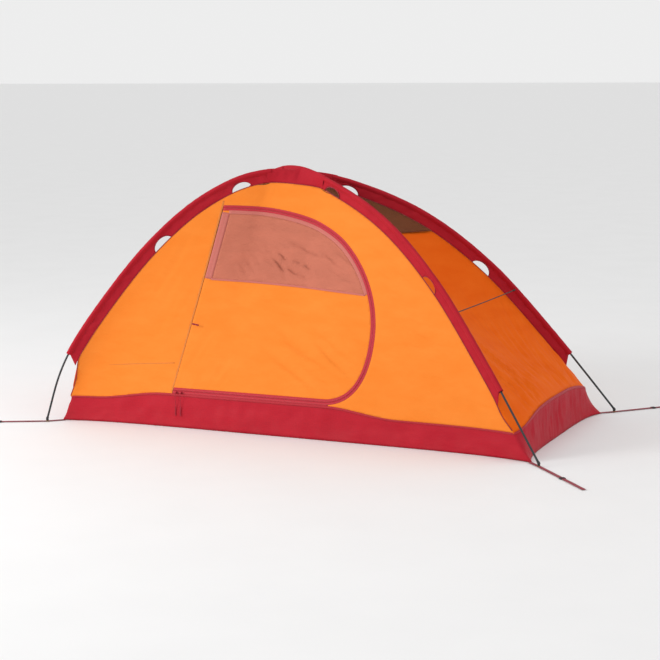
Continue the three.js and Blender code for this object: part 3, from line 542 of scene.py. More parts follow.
def rod_along(frames, radius, around=12, squash=1.0, capped=True):
    """A round or flattened rod through a list of (point, side, up); radius may be a function."""
    walked = [0]
    for (a, *_), (b, *_) in zip(frames, frames[1:]):
        walked.append(walked[-1] + (b - a).length)
    count = len(frames) - 1

    def place(u, v):
        index = min(int(round(u * count)), count)
        point, side, up = frames[index]
        wide = radius(u) if callable(radius) else radius
        turn = v * 2 * math.pi
        co = point + side * (wide * math.cos(turn)) + up * (wide * squash * math.sin(turn))
        return co, (walked[index], v * 2 * math.pi * wide)

    return rolled(place, count, around, True, capped)


def frames_through(points, up=Vector((0, 0, 1))):
    """Square frames along a list of points, for a rod or ribbon through them."""
    frames = []
    for i, point in enumerate(points):
        along = (points[min(i + 1, len(points) - 1)] - points[max(i - 1, 0)]).normalized()
        side = along.cross(up)
        side = side.normalized() if side.length > 1e-6 else Vector((1, 0, 0))
        frames.append((point, side, side.cross(along)))
    return frames


def turned(profile, place, steps=24):
    """A lathe-turned piece: profile points are (radius, height) over a place."""
    bm = bmesh.new()
    ring = [bm.verts.new((radius, 0, height)) for radius, height in profile]
    edges = [bm.edges.new(pair) for pair in zip(ring, ring[1:])]
    bmesh.ops.spin(bm, geom=ring + edges, cent=(0, 0, 0), axis=(0, 0, 1), angle=2 * math.pi,
                   steps=steps, use_merge=True)
    bmesh.ops.remove_doubles(bm, verts=bm.verts, dist=1e-6)
    bmesh.ops.recalc_face_normals(bm, faces=bm.faces)
    bmesh.ops.translate(bm, vec=place, verts=bm.verts)
    return bm


def joined(*parts):
    """Several bmeshes as one."""
    whole = parts[0]
    for part in parts[1:]:
        mesh = bpy.data.meshes.new("part")
        part.to_mesh(mesh)
        part.free()
        whole.from_mesh(mesh)
        bpy.data.meshes.remove(mesh)
    return whole


# %% [markdown]
# ## Finishes shared by several materials
# Weave, soft shade, stitches and dust appear on many pieces, so each is a node group with named
# inputs, built once. The groups only put out masks and heights. The shader itself stays in each
# material, where its plain numbers can be set for that cloth or metal.

# %% Node groups
def new_group(name, inputs, outputs):
    group = bpy.data.node_groups.new(name, "ShaderNodeTree")
    for label, kind, value in inputs:
        socket = group.interface.new_socket(label, in_out="INPUT", socket_type=kind)
        if value is not None:
            socket.default_value = value
    for label, kind in outputs:
        group.interface.new_socket(label, in_out="OUTPUT", socket_type=kind)
    return group, group.nodes.new("NodeGroupInput"), group.nodes.new("NodeGroupOutput")


class Wiring:
    """Short names for adding nodes to a tree and joining them."""

    def __init__(self, tree):
        self.tree = tree

    def node(self, kind, **settings):
        made = self.tree.nodes.new(kind)
        for name, value in settings.items():
            setattr(made, name, value)
        return made

    def join(self, source, target):
        self.tree.links.new(source, target)

    def feed(self, socket, value):
        if isinstance(value, bpy.types.NodeSocket):
            self.join(value, socket)
        else:
            socket.default_value = value

    def math(self, operation, *values, clamp=False):
        made = self.node("ShaderNodeMath", operation=operation, use_clamp=clamp)
        for socket, value in zip(made.inputs, values):
            self.feed(socket, value)
        return made.outputs[0]

    def mix_colour(self, share, first, second):
        made = self.node("ShaderNodeMix", data_type="RGBA")
        self.feed(made.inputs[0], share)
        self.feed(made.inputs[6], first)
        self.feed(made.inputs[7], second)
        return made.outputs[2]

    def noise(self, vector, scale, detail=2.0, roughness=0.5):
        made = self.node("ShaderNodeTexNoise")
        self.join(vector, made.inputs["Vector"])
        self.feed(made.inputs["Scale"], scale)
        made.inputs["Detail"].default_value = detail
        made.inputs["Roughness"].default_value = roughness
        return made.outputs["Fac"]

    def map_range(self, value, *limits):
        made = self.node("ShaderNodeMapRange")
        self.feed(made.inputs["Value"], value)
        for socket, limit in zip(made.inputs[1:5], limits):
            self.feed(socket, limit)
        return made.outputs["Result"]


def make_weave_group():
    """Over-and-under threads: two rounded waves, each hiding the other in a chequer."""
    group, source, out = new_group(
        "plain weave",
        [("Cloth", "NodeSocketVector", None), ("Threads", "NodeSocketFloat", 900.0)],
        [("Height", "NodeSocketFloat"), ("Gaps", "NodeSocketFloat")])
    w = Wiring(group)
    parts = w.node("ShaderNodeSeparateXYZ")
    w.join(source.outputs["Cloth"], parts.inputs[0])
    waves = []
    for axis in range(2):
        turn = w.math("MULTIPLY", w.math("MULTIPLY", parts.outputs[axis], source.outputs["Threads"]), math.pi)
        waves.append(w.math("ABSOLUTE", w.math("SINE", turn)))
    chequer = w.node("ShaderNodeTexChecker")
    w.join(source.outputs["Cloth"], chequer.inputs["Vector"])
    w.join(source.outputs["Threads"], chequer.inputs["Scale"])
    over = w.node("ShaderNodeMix")
    w.join(chequer.outputs["Fac"], over.inputs[0])
    w.join(waves[0], over.inputs[2])
    w.join(waves[1], over.inputs[3])
    w.join(over.outputs[0], out.inputs["Height"])
    w.join(w.math("MULTIPLY", waves[0], waves[1]), out.inputs["Gaps"])
    return group


def make_ripstop_group():
    """The thicker threads woven in every few millimetres, as a mask of fine crossing lines."""
    group, source, out = new_group(
        "ripstop grid",
        [("Cloth", "NodeSocketVector", None), ("Spacing", "NodeSocketFloat", 0.006),
         ("Width", "NodeSocketFloat", 0.12)],
        [("Lines", "NodeSocketFloat")])
    w = Wiring(group)
    parts = w.node("ShaderNodeSeparateXYZ")
    w.join(source.outputs["Cloth"], parts.inputs[0])
    lines = []
    for axis in range(2):
        step = w.math("FRACT", w.math("DIVIDE", parts.outputs[axis], source.outputs["Spacing"]))
        lines.append(w.math("LESS_THAN", step, source.outputs["Width"]))
    w.join(w.math("MAXIMUM", *lines), out.inputs["Lines"])
    return group


def make_slack_group():
    """Soft shade of cloth that isn't quite flat: broad puckers and finer creases."""
    group, source, out = new_group(
        "slack cloth",
        [("Cloth", "NodeSocketVector", None), ("Broad", "NodeSocketFloat", 7.0),
         ("Fine", "NodeSocketFloat", 60.0)],
        [("Height", "NodeSocketFloat"), ("Shade", "NodeSocketFloat")])
    w = Wiring(group)
    stretched = w.node("ShaderNodeMapping")
    stretched.inputs["Scale"].default_value = (1.0, 2.6, 1.0)
    stretched.inputs["Rotation"].default_value = (0, 0, 0.5)
    w.join(source.outputs["Cloth"], stretched.inputs["Vector"])
    broad = w.noise(stretched.outputs[0], source.outputs["Broad"], 3.0, 0.55)
    fine = w.noise(stretched.outputs[0], source.outputs["Fine"], 2.0, 0.6)
    w.join(w.math("ADD", broad, w.math("MULTIPLY", fine, 0.12)), out.inputs["Height"])
    w.join(w.map_range(broad, 0.3, 0.7, 0.0, 1.0), out.inputs["Shade"])
    return group


def make_stitch_group():
    """A row of thread dashes at one offset across a tape, along its length."""
    group, source, out = new_group(
        "stitch row",
        [("Cloth", "NodeSocketVector", None), ("Offset", "NodeSocketFloat", 0.0),
         ("Pitch", "NodeSocketFloat", 0.004), ("Thread", "NodeSocketFloat", 0.0006)],
        [("Mask", "NodeSocketFloat")])
    w = Wiring(group)
    parts = w.node("ShaderNodeSeparateXYZ")
    w.join(source.outputs["Cloth"], parts.inputs[0])
    away = w.math("ABSOLUTE", w.math("SUBTRACT", parts.outputs[1], source.outputs["Offset"]))
    near = w.math("LESS_THAN", away, source.outputs["Thread"])
    stitches = w.math("FRACT", w.math("DIVIDE", parts.outputs[0], source.outputs["Pitch"]))
    dash = w.math("LESS_THAN", stitches, 0.68)
    w.join(w.math("MULTIPLY", near, dash), out.inputs["Mask"])
    return group


def make_dust_group():
    """Dust that gathers low down and in patches: a mask that falls with height over the ground."""
    group, source, out = new_group(
        "ground dust",
        [("Place", "NodeSocketVector", None), ("Reach", "NodeSocketFloat", 0.12),
         ("Amount", "NodeSocketFloat", 0.3)],
        [("Mask", "NodeSocketFloat")])
    w = Wiring(group)
    parts = w.node("ShaderNodeSeparateXYZ")
    w.join(source.outputs["Place"], parts.inputs[0])
    low = w.math("SUBTRACT", 1.0, w.math("DIVIDE", parts.outputs[2], source.outputs["Reach"]), clamp=True)
    patches = w.map_range(w.noise(source.outputs["Place"], 14.0, 4.0, 0.6), 0.35, 0.75, 0.0, 1.0)
    w.join(w.math("MULTIPLY", w.math("MULTIPLY", low, patches), source.outputs["Amount"]), out.inputs["Mask"])
    return group


GROUPS = {
    "weave": make_weave_group(),
    "ripstop": make_ripstop_group(),
    "slack": make_slack_group(),
    "stitch": make_stitch_group(),
    "dust": make_dust_group(),
}


class Finish(Wiring):
    """A material with one Principled shader, and the coordinates its patterns are laid on."""

    def __init__(self, name, colour, roughness, metallic=0.0, **plain):
        self.material = bpy.data.materials.new(name)
        self.material.use_nodes = True
        super().__init__(self.material.node_tree)
        self.shader = self.tree.nodes["Principled BSDF"]
        self.colour = (*colour, 1)
        self.set("Base Color", self.colour)
        self.set("Roughness", roughness)
        self.set("Metallic", metallic)
        for label, value in plain.items():
            self.set(label.replace("_", " "), value)
        self.cloth = self.node("ShaderNodeUVMap", uv_map="cloth").outputs[0]
        self.place = self.node("ShaderNodeTexCoord").outputs["Object"]

    def set(self, label, value):
        self.feed(self.shader.inputs[label], value)

    def group(self, key, coordinates, **inputs):
        made = self.node("ShaderNodeGroup", node_tree=GROUPS[key])
        self.join(coordinates, made.inputs[0])
        for label, value in inputs.items():
            made.inputs[label].default_value = value
        return made

    def bump(self, height, distance, strength=1.0, normal=None):
        made = self.node("ShaderNodeBump")
        made.inputs["Strength"].default_value = strength
        made.inputs["Distance"].default_value = distance
        self.join(height, made.inputs["Height"])
        if normal is not None:
            self.join(normal, made.inputs["Normal"])
        return made.outputs[0]


def shade_of(colour, factor):
    return tuple(min(channel * factor, 1.0) for channel in colour) + (1,)


def cloth_finish(name, colour, painted_shade_colour, roughness=0.55, threads=900.0, slack=0.006, dusty=0.0, grid=False,
                 sheen=0.35, painted_glow=0.0):
    """Woven nylon: thread relief, soft slack with painted shade in its hollows, a painted highlight on the
    thread crowns, dust near the ground, and an optional painted glow.
    """
    f = Finish(name, colour, roughness, Sheen_Weight=sheen, Sheen_Roughness=0.4,
               Specular_IOR_Level=0.2, IOR=1.2)
    weave = f.group("weave", f.cloth, Threads=threads)
    loose = f.group("slack", f.cloth)
    # Painted shade: the low parts of the slack noise take the darker colour.
    tone = f.mix_colour(loose.outputs["Shade"], (*painted_shade_colour, 1), (*colour, 1))
    # Painted highlight: the crowns of the woven threads are lightened.
    tone = f.mix_colour(f.math("MULTIPLY", weave.outputs["Height"], 0.18), tone, shade_of(colour, 1.12))
    relief = f.bump(loose.outputs["Height"], slack)
    relief = f.bump(weave.outputs["Height"], 0.0002, 0.2, relief)
    if grid:
        lines = f.group("ripstop", f.cloth)
        tone = f.mix_colour(f.math("MULTIPLY", lines.outputs["Lines"], 0.22), tone, shade_of(colour, 1.35))
        relief = f.bump(lines.outputs["Lines"], 0.0002, 0.5, relief)
    if dusty:
        dust = f.group("dust", f.place, Amount=dusty)
        tone = f.mix_colour(dust.outputs["Mask"], tone, (0.36, 0.27, 0.22, 1))
    f.set("Base Color", tone)
    f.set("Normal", relief)
    # Painted glow: an emission of the cloth's own colour stands in for light coming through it.
    if painted_glow:
        f.set("Emission Color", tone)
        f.set("Emission Strength", painted_glow)
    return f.material


def net_finish(name, colour, thread_share, threads=500.0):
    """Insect net: the weave's gaps let the far side show through."""
    f = Finish(name, colour, 0.7, Sheen_Weight=0.1, Specular_IOR_Level=0.15)
    weave = f.group("weave", f.cloth, Threads=threads)
    loose = f.group("slack", f.cloth, Broad=9.0, Fine=40.0)
    # Painted shade in the slack noise's hollows and a painted highlight on its crowns.
    tone = f.mix_colour(loose.outputs["Shade"], shade_of(colour, 0.93), shade_of(colour, 1.04))
    f.set("Base Color", tone)
    f.set("Alpha", f.map_range(weave.outputs["Gaps"], 0.0, 1.0,
                               min(thread_share + 0.12, 1.0), thread_share - 0.12))
    f.set("Normal", f.bump(loose.outputs["Height"], 0.008))
    return f.material


def tape_finish(name, colour, rows, thread_colour, roughness=0.6, threads=1100.0, in_space=False):
    """Woven tape with rows of stitches across it; in_space lays the weave by place, for a curve."""
    f = Finish(name, colour, roughness, Sheen_Weight=0.1, Specular_IOR_Level=0.2)
    weave = f.group("weave", f.place if in_space else f.cloth, Threads=threads)
    # Painted shade in the weave's hollows and a painted highlight on its thread crowns.
    tone = f.mix_colour(weave.outputs["Height"], shade_of(colour, 0.72), shade_of(colour, 1.15))
    relief = f.bump(weave.outputs["Height"], 0.0003, 0.6)
    for offset in rows:
        row = f.group("stitch", f.cloth, Offset=offset)
        tone = f.mix_colour(row.outputs["Mask"], tone, (*thread_colour, 1))
        relief = f.bump(row.outputs["Mask"], 0.0004, 0.8, relief)
    f.set("Base Color", tone)
    f.set("Normal", relief)
    return f.material


def plastic_finish(name, colour, roughness=0.42, grain=900.0):
    """Moulded plastic: a fine spark-eroded grain and a little colour drift."""
    f = Finish(name, colour, roughness, Specular_IOR_Level=0.45)
    speck = f.noise(f.place, grain, 2.0)
    f.set("Base Color", f.mix_colour(f.noise(f.place, 30.0), shade_of(colour, 0.8), shade_of(colour, 1.5)))
    f.set("Roughness", f.map_range(speck, 0.3, 0.7, roughness - 0.08, roughness + 0.12))
    f.set("Normal", f.bump(speck, 0.0002, 0.3))
    return f.material


def metal_finish(name, colour, roughness, streaks=260.0, in_space=False):
    """Drawn or pressed metal: fine streaks in the roughness and rubbed brighter patches."""
    f = Finish(name, colour, roughness, 1.0, Specular_IOR_Level=0.5)
    drawn = f.node("ShaderNodeMapping")
    drawn.inputs["Scale"].default_value = (1.0, 9.0, 1.0)
    f.join(f.place if in_space else f.cloth, drawn.inputs["Vector"])
    streak = f.noise(drawn.outputs[0], streaks, 3.0, 0.65)
    rubbed = f.map_range(f.noise(f.place, 18.0, 4.0, 0.7), 0.55, 0.8, 0.0, 0.6)
    f.set("Base Color", f.mix_colour(rubbed, (*colour, 1), shade_of(colour, 1.9)))
    f.set("Roughness", f.map_range(streak, 0.3, 0.7, roughness - 0.07, roughness + 0.1))
    f.set("Normal", f.bump(streak, 0.0001, 0.25))
    return f.material


# %% [markdown]
# ## Orange canopy nylon lets daylight through; that light is given as a painted glow of its own colour.
# The end walls take a darker copy of the same nylon, as painted shade.
# Orange canopy nylon lets daylight through, so a touch of its own colour is given back as glow.
# The red of the sleeves is the same cloth in another dye. The tub is heavier, coated ripstop:
# glossier, with a grid of thicker threads.

# %% Materials
CANOPY_ORANGE = (0.80, 0.225, 0.032)
# The darker colour painted as shade in the canopy's slack hollows.
CANOPY_PAINTED_SHADE = (0.78, 0.200, 0.024)
SLEEVE_RED = (0.44, 0.018, 0.030)
TUB_RED = (0.46, 0.020, 0.034)
BINDING_RED = (0.30, 0.012, 0.030)
ZIP_RED = (0.50, 0.024, 0.040)
THREAD_RED = (0.60, 0.10, 0.11)
canopy_cloth = cloth_finish("canopy nylon", CANOPY_ORANGE, CANOPY_PAINTED_SHADE, 0.6, sheen=0.04, slack=0.003,
                            painted_glow=0.08)
sleeve_cloth = cloth_finish("sleeve nylon", SLEEVE_RED, (0.39, 0.014, 0.026), 0.6, sheen=0.03)
tub_cloth = cloth_finish("tub ripstop", TUB_RED, (0.42, 0.016, 0.030), 0.42, threads=700.0, slack=0.004,
                         dusty=0.04, grid=True, sheen=0.0)
# Painted shade: the end walls use a darker copy of the canopy nylon, with the same painted glow.
canopy_shaded_end_cloth = cloth_finish("canopy nylon, lit through", (0.74, 0.125, 0.008), (0.70, 0.10, 0.004), 0.6,
                                sheen=0.0, slack=0.003, painted_glow=0.10)
tub_binding = tape_finish("tub binding", TUB_RED, (0.0,), (0.52, 0.04, 0.055))
binding_tape = tape_finish("seam binding", BINDING_RED, (0.0,), THREAD_RED)
canopy_tape = tape_finish("canopy seam", shade_of(CANOPY_ORANGE, 0.85)[:3], (-0.0022, 0.0022),
                          (0.75, 0.30, 0.08))
window_net = net_finish("window net", (0.56, 0.17, 0.105), 0.88)
vent_net = net_finish("vent net", (0.20, 0.065, 0.025), 0.84)
zip_tape = tape_finish("zip tape", ZIP_RED, (-0.0024,), THREAD_RED)
webbing = tape_finish("corner webbing", (0.28, 0.015, 0.033), (-0.0062, 0.0062), (0.25, 0.03, 0.045),
                      threads=500.0)
pull_braid = tape_finish("pull braid", (0.34, 0.018, 0.035), (), THREAD_RED, threads=1500.0)
anodised = metal_finish("anodised pole", (0.055, 0.06, 0.062), 0.34)
brass = metal_finish("pressed brass", (0.60, 0.42, 0.17), 0.3, in_space=True)
slider_enamel = metal_finish("slider enamel", (0.30, 0.02, 0.035), 0.36, in_space=True)
black_plastic = plastic_finish("black acetal", (0.014, 0.014, 0.015))
tip_nylon = plastic_finish("tip nylon", (0.022, 0.022, 0.024), 0.5)
cord_braid = tape_finish("cord braid", (0.030, 0.016, 0.013), (), THREAD_RED, threads=1400.0, in_space=True)
shock_braid = tape_finish("shock cord braid", (0.035, 0.035, 0.038), (), THREAD_RED, threads=1400.0)
tie_curve.materials.append(cord_braid)
print(len(bpy.data.materials), "materials")

# %% [markdown]
# ## Folds
# Pitched nylon is never quite flat. Creases run between the points that pull on it, and small
# puckers stand along every seam, where the stitched edge is shorter than the cloth beside it.
# Both are heights over the guide surface, from seeded noise drawn out along the pull.

# %% Helpers: creases and puckers
CREASE_DEPTH = 2.6


def creases(centre, reach, angle, spacing, length, depth, seed):
    """Ridges that run at an angle, strongest round a centre and faded out over its reach."""
    cos, sin = math.cos(math.radians(angle)), math.sin(math.radians(angle))

    def height(flat):
        rel = flat - np.array(centre)
        along = rel @ (cos, sin)
        across = rel @ (-sin, cos)
        weight = np.exp(-((rel / np.array(reach)) ** 2).sum(1))
        ridge = [1 - 3 * abs(noise.noise((a / length, b / spacing, seed))) for a, b in zip(along, across)]
        return CREASE_DEPTH * depth * weight * np.array(ridge)

    return height


def puckers(line, reach, pitch, depth, seed, closed=False):
    def height(flat):
        _, gap, walked = nearest_on(flat, line, closed)
        ripple = np.array([noise.noise((place / pitch, seed, 0.3)) for place in walked])
        return depth * np.exp(-gap / reach) * ripple

    return height


def rolling(size, depth, seed):
    """Broad, shallow waves all over a panel."""
    def height(flat):
        return depth * np.array([noise.noise((a / size[0], b / size[1], seed)) for a, b in flat])

    return height


def folds_of(*kinds, flat_by=(), reach=0.022):
    """All the folds together, dying away toward the lines that hold the cloth down."""
    def height(flat):
        rise = sum(kind(flat) for kind in kinds)
        for line, closed in flat_by:
            rise = rise * (1 - np.exp(-((nearest_on(flat, line, closed)[1] / reach) ** 2)))
        return rise

    return height


# %% [markdown]
# ## The door's outline
# Seen square from the front the door is a D: a straight sewn edge on the left that leans with the
# cloth, a long rounded zip over the top and down the right, and a straight run back along the
# tub. Three Bezier spans give that curve, and insets of it give tape, coil and leaf.

# %% Door outline
ZIP_TAPE = 0.007
ZIP_OPENING = 0.0026
SEAM = 0.0005
HINGE_GAP = 0.0012
HINGE_TAPE = 0.007
WINDOW_HEM = 0.012
HINGE_HEM = 0.030
WINDOW_BOTTOM = {"left": 0.612, "right": 0.574}
DOOR_SHOULDER = (0.150, 0.775)
DOOR_SIDE_HEIGHT = 0.411
zip_low, zip_high = (Vector(corner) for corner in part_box("zip_tape_wall"))
DOOR_TOP = zip_high.z + SEAM
DOOR_SIDE_X = zip_high.x + SEAM
ZIP_BOTTOM = zip_low.z - SEAM
door_joint = next(joint for joint in frame["record"]["behaviour"]["joints"] if joint["name"] == "door_swing")
hinge_foot = Vector(door_joint["pos_m"])
hinge_rise = -Vector(door_joint["axis"])


def hinge_x(height):
    return hinge_foot.x + hinge_rise.x / hinge_rise.z * (height - hinge_foot.z)


def door_line():
    corners = [(hinge_x(DOOR_TOP), DOOR_TOP), DOOR_SHOULDER, (DOOR_SIDE_X, DOOR_SIDE_HEIGHT),
               (DOOR_HEEL_X, ZIP_BOTTOM)]
    handles = [((0.476, 0), (0.843, 0.48)), ((0.718, 0.288), (1, 0.67)), ((0, 0.53), (0.227, 0.98))]
    line = []
    for (start, end), (leave, arrive) in zip(zip(corners, corners[1:]), handles):
        one = [mix(start[k], end[k], leave[k]) for k in range(2)]
        two = [mix(start[k], end[k], arrive[k]) for k in range(2)]
        span = geometry.interpolate_bezier(*((*place, 0) for place in (start, one, two, end)), 60)
        line += [tuple(p)[:2] for p in span[:-1]]
    straight = np.linspace(DOOR_HEEL_X, hinge_foot.x, 60)
    return np.array(line + [(x, ZIP_BOTTOM) for x in straight])


def inset_line(line, inset):
    run = np.gradient(line, axis=0)
    run /= np.linalg.norm(run, axis=1)[:, None]
    return line + np.stack([run[:, 1], -run[:, 0]], axis=1) * inset


def past_hinge(line):
    """Keeps a line on the door's side of the hinge."""
    kept = line.copy()
    kept[:, 0] = np.maximum(kept[:, 0], [hinge_x(z) for z in kept[:, 1]])
    return kept


def clip(outline, point, outward):
    """Cuts a convex outline by a line through a point; what lies outward goes."""
    outline, point, outward = np.array(outline), np.array(point), np.array(outward)
    side = (outline - point) @ outward
    kept = []
    for a, b, da, db in zip(outline, np.roll(outline, -1, axis=0), side, np.roll(side, -1)):
        if da <= 0:
            kept.append(a)
        if (da < 0 < db) or (db < 0 < da):
            kept.append(a + (b - a) * da / (da - db))
    return np.array(kept)


def close_up(outline, spacing=0.01):
    """The same outline with points added on its long straight stretches."""
    outline = np.array(outline)
    full = []
    for a, b in zip(outline, np.roll(outline, -1, axis=0)):
        steps = max(1, int(np.linalg.norm(b - a) / spacing))
        full += [a + (b - a) * k / steps for k in range(steps)]
    return np.array(full)


zip_line = door_line()
leaf_inset = ZIP_TAPE * 2 + ZIP_OPENING + SEAM * 3
leaf_outline = close_up(past_hinge(inset_line(zip_line, leaf_inset)))
hem_line = inset_line(zip_line, leaf_inset + WINDOW_HEM)
window_outline = clip(hem_line, (hinge_x(WINDOW_BOTTOM["left"]) + HINGE_HEM, WINDOW_BOTTOM["left"]),
                      (-hinge_rise.z, hinge_rise.x))
window_foot = Vector((DOOR_SIDE_X - hinge_x(WINDOW_BOTTOM["left"]) - HINGE_HEM,
                      WINDOW_BOTTOM["right"] - WINDOW_BOTTOM["left"]))
window_outline = close_up(clip(window_outline, (DOOR_SIDE_X, WINDOW_BOTTOM["right"]),
                               (window_foot.y, -window_foot.x)))
print("zip", round(float(np.linalg.norm(np.diff(zip_line, axis=0), axis=1).sum()), 2), "m long")

# %% [markdown]
# ## Canopy walls
# Four orange panels, each cut from its own flat outline. The front one has the door's D cut out
# of it. The two ends stop at the mesh vents near the crown.

# %% Canopy walls
CELL = 0.010
POCKET_SEAM = ((-0.955, 0.236), (-0.560, 0.264))
VENT_BOTTOM = 0.800
front_folds = folds_of(
    rolling((0.5, 0.35), 0.010, 1.0),
    creases((0.55, 0.42), (0.22, 0.20), -16, 0.045, 0.30, 0.0040, 2.0),
    creases((0.42, 0.66), (0.16, 0.16), -28, 0.040, 0.28, 0.0030, 3.0),
    creases((0.85, 0.20), (0.22, 0.10), 28, 0.035, 0.25, 0.0040, 4.0),
    creases((-0.85, 0.24), (0.20, 0.14), -38, 0.040, 0.25, 0.0030, 5.0),
    creases((-0.62, 0.60), (0.14, 0.25), 62, 0.045, 0.30, 0.0025, 6.0),
    creases((-0.34, 0.95), (0.10, 0.05), 70, 0.028, 0.10, 0.0025, 7.0),
    puckers(zip_line, 0.035, 0.030, 0.0050, 8.0),
    puckers(walls["front"].outline(), 0.040, 0.035, 0.0060, 9.0, True),
    flat_by=[(zip_line, True), (walls["front"].outline(), True), (np.array(POCKET_SEAM), False)],
)


def canopy_panel(name, wall, outline, folds, *nodes, holes=(), cloth=canopy_cloth):
    bm = lay_cloth(cut_cloth(outline, CELL, holes), wall.lay, folds)
    piece = as_object(name, bm, cloth)
    dress(piece, "tent", "canopy_cloth", *nodes)
    declare_sheet(piece)
    return thicken(piece, THICKNESS["canopy"])


canopy_panel("canopy_front", walls["front"], walls["front"].outline(), front_folds, "wall_front",
             holes=[close_up(zip_line)])
canopy_panel("canopy_back", walls["back"], walls["back"].outline(), folds_of(
    rolling((0.45, 0.35), 0.012, 11.0),
    creases((0.6, 0.40), (0.3, 0.3), 150, 0.05, 0.35, 0.0035, 12.0),
    creases((-0.6, 0.40), (0.3, 0.3), 35, 0.05, 0.35, 0.0035, 13.0),
    puckers(walls["back"].outline(), 0.040, 0.035, 0.0060, 14.0, True),
    flat_by=[(walls["back"].outline(), True)]), "wall_back")

for end in ("left", "right"):
    whole = walls[end].outline()
    lower = close_up(clip(whole, (0, VENT_BOTTOM - SEAM), (0, 1)))
    upper = close_up(clip(whole, (0, VENT_BOTTOM + SEAM), (0, -1)))
    canopy_panel("canopy_" + end, walls[end], lower, folds_of(
        rolling((0.35, 0.4), 0.009, 21.0),
        creases((0.25, 0.30), (0.18, 0.20), 60, 0.035, 0.30, 0.0040, 22.0),
        creases((-0.25, 0.30), (0.18, 0.20), 120, 0.035, 0.30, 0.0040, 23.0),
        creases((0.0, 0.22), (0.35, 0.07), 90, 0.030, 0.20, 0.0045, 24.0),
        puckers(whole, 0.045, 0.028, 0.0080, 25.0, True),
        flat_by=[(whole, True)]), "wall_" + end, cloth=canopy_shaded_end_cloth)
    net = as_object("vent_net_" + end, lay_cloth(cut_cloth(upper, CELL), walls[end].lay,
                                                 rolling((0.15, 0.15), 0.006, 26.0)), vent_net)
    dress(net, "tent", "vent_mesh", "vent_" + end)
    declare_sheet(net)
    thicken(net, THICKNESS["net"])

# %% [markdown]
# ## Seams, tapes and the zip
# Along its edge each panel carries a flat-felled seam, and the door a zip: two woven tapes with a
# coil between. A tape is a narrow grid that follows a flat line at given distances from it and is
# laid on the guide like the cloth. The coil is a small rod with its turns in the finish.

# %% Tapes on a wall
def evenly(line, spacing):
    line = np.asarray(line, float)
    walked = np.concatenate([[0], np.cumsum(np.linalg.norm(np.diff(line, axis=0), axis=1))])
    places = np.linspace(0, walked[-1], max(2, int(walked[-1] / spacing)))
    return np.stack([np.interp(places, walked, line[:, k]) for k in range(line.shape[1])], axis=1)


def tape_on(surface, line, low, high, stand, crown=0.0004, across=4, keep=None):
    """A tape between two distances inward from a line, standing a little off the surface."""
    line = evenly(line, 0.010)
    walked = np.concatenate([[0], np.cumsum(np.linalg.norm(np.diff(line, axis=0), axis=1))])
    count = len(line) - 1
    run = np.gradient(line, axis=0)
    run /= np.linalg.norm(run, axis=1)[:, None]
    inward = np.stack([run[:, 1], -run[:, 0]], axis=1)

    def place(u, v):
        index = min(int(round(u * count)), count)
        offset = mix(low, high, v)
        flat = line[index] + inward[index] * offset
        if keep:
            flat = keep(flat)
        point, normal = surface(flat[0], flat[1])
        rise = stand + crown * math.sin(math.pi * v)
        return point + normal * rise, (walked[index], offset - (low + high) / 2)

    return rolled(place, count, across, closed=False, capped=False)


def rod_on(surface, line, offset, stand, radius, around=8, keep=None):
    """A thin rod that follows a line on the surface, at a distance inward from it."""
    line = inset_line(evenly(line, 0.010), offset)
    frames = []
    for flat in line:
        flat = keep(flat) if keep else flat
        point, normal = surface(flat[0], flat[1])
        frames.append((point + normal * stand, normal))
    points = [point for point, _ in frames]
    square = []
    for i, (point, normal) in enumerate(frames):
        along = (points[min(i + 1, len(points) - 1)] - points[max(i - 1, 0)]).normalized()
        square.append((point, along.cross(normal).normalized(), normal))
    return rod_along(square, radius, around)


def coil_finish():
    """Zip coil: close turns across the line, with a painted highlight on top of each turn and painted shade
    between.
    """
    f = Finish("zip coil", ZIP_RED, 0.4, Specular_IOR_Level=0.5)
    parts = f.node("ShaderNodeSeparateXYZ")
    f.join(f.cloth, parts.inputs[0])
    turns = f.math("ABSOLUTE", f.math("SINE", f.math("MULTIPLY", parts.outputs[0], math.pi / 0.0024)))
    # Painted highlight on each turn's top, painted shade between the turns.
    f.set("Base Color", f.mix_colour(turns, shade_of(ZIP_RED, 0.45), shade_of(ZIP_RED, 1.25)))
    f.set("Normal", f.bump(turns, 0.0006))
    return f.material


zip_coil = coil_finish()


def off_hinge(flat):
    return (max(flat[0], hinge_x(flat[1]) + HINGE_GAP), flat[1])


front = walls["front"].lay
coil_offset = SEAM + ZIP_TAPE + ZIP_OPENING / 2
TAPE_LAP = 0.002
TAPE_STAND = 0.0012
COIL_STAND = 0.0016
COIL_RADIUS = 0.0015
outer_tape = as_object("zip_tape_body_side", tape_on(
    front, zip_line, -TAPE_LAP, SEAM + ZIP_TAPE, TAPE_STAND, keep=off_hinge), zip_tape)
thicken(dress(outer_tape, "tent", "zip_tape", "zip_tape_wall"), THICKNESS["tape"])
inner_tape = as_object("zip_tape_door_side", tape_on(
    front, zip_line, SEAM + ZIP_TAPE + ZIP_OPENING, leaf_inset + TAPE_LAP, TAPE_STAND, keep=off_hinge), zip_tape)
thicken(dress(inner_tape, "door", "zip_tape", "zip_tape_door"), THICKNESS["tape"])
coil = as_object("zip_coil_run", rod_on(
    front, zip_line, coil_offset, COIL_STAND, COIL_RADIUS, keep=off_hinge), zip_coil)
dress(coil, "tent", "zip_tape")
flap_line = np.array([(DOOR_HEEL_X + 0.02, ZIP_BOTTOM), (hinge_foot.x, ZIP_BOTTOM)])
flap = as_object("zip_lower_flap", tape_on(front, flap_line, -0.0085, -0.0015, 0.0016), tub_binding)
thicken(dress(flap, "tent", "canopy_cloth"), THICKNESS["canopy"])
pocket = as_object("pocket_seam", tape_on(
    front, np.array(POCKET_SEAM), -TAPE_LAP, TAPE_LAP, 0.0010), canopy_tape)
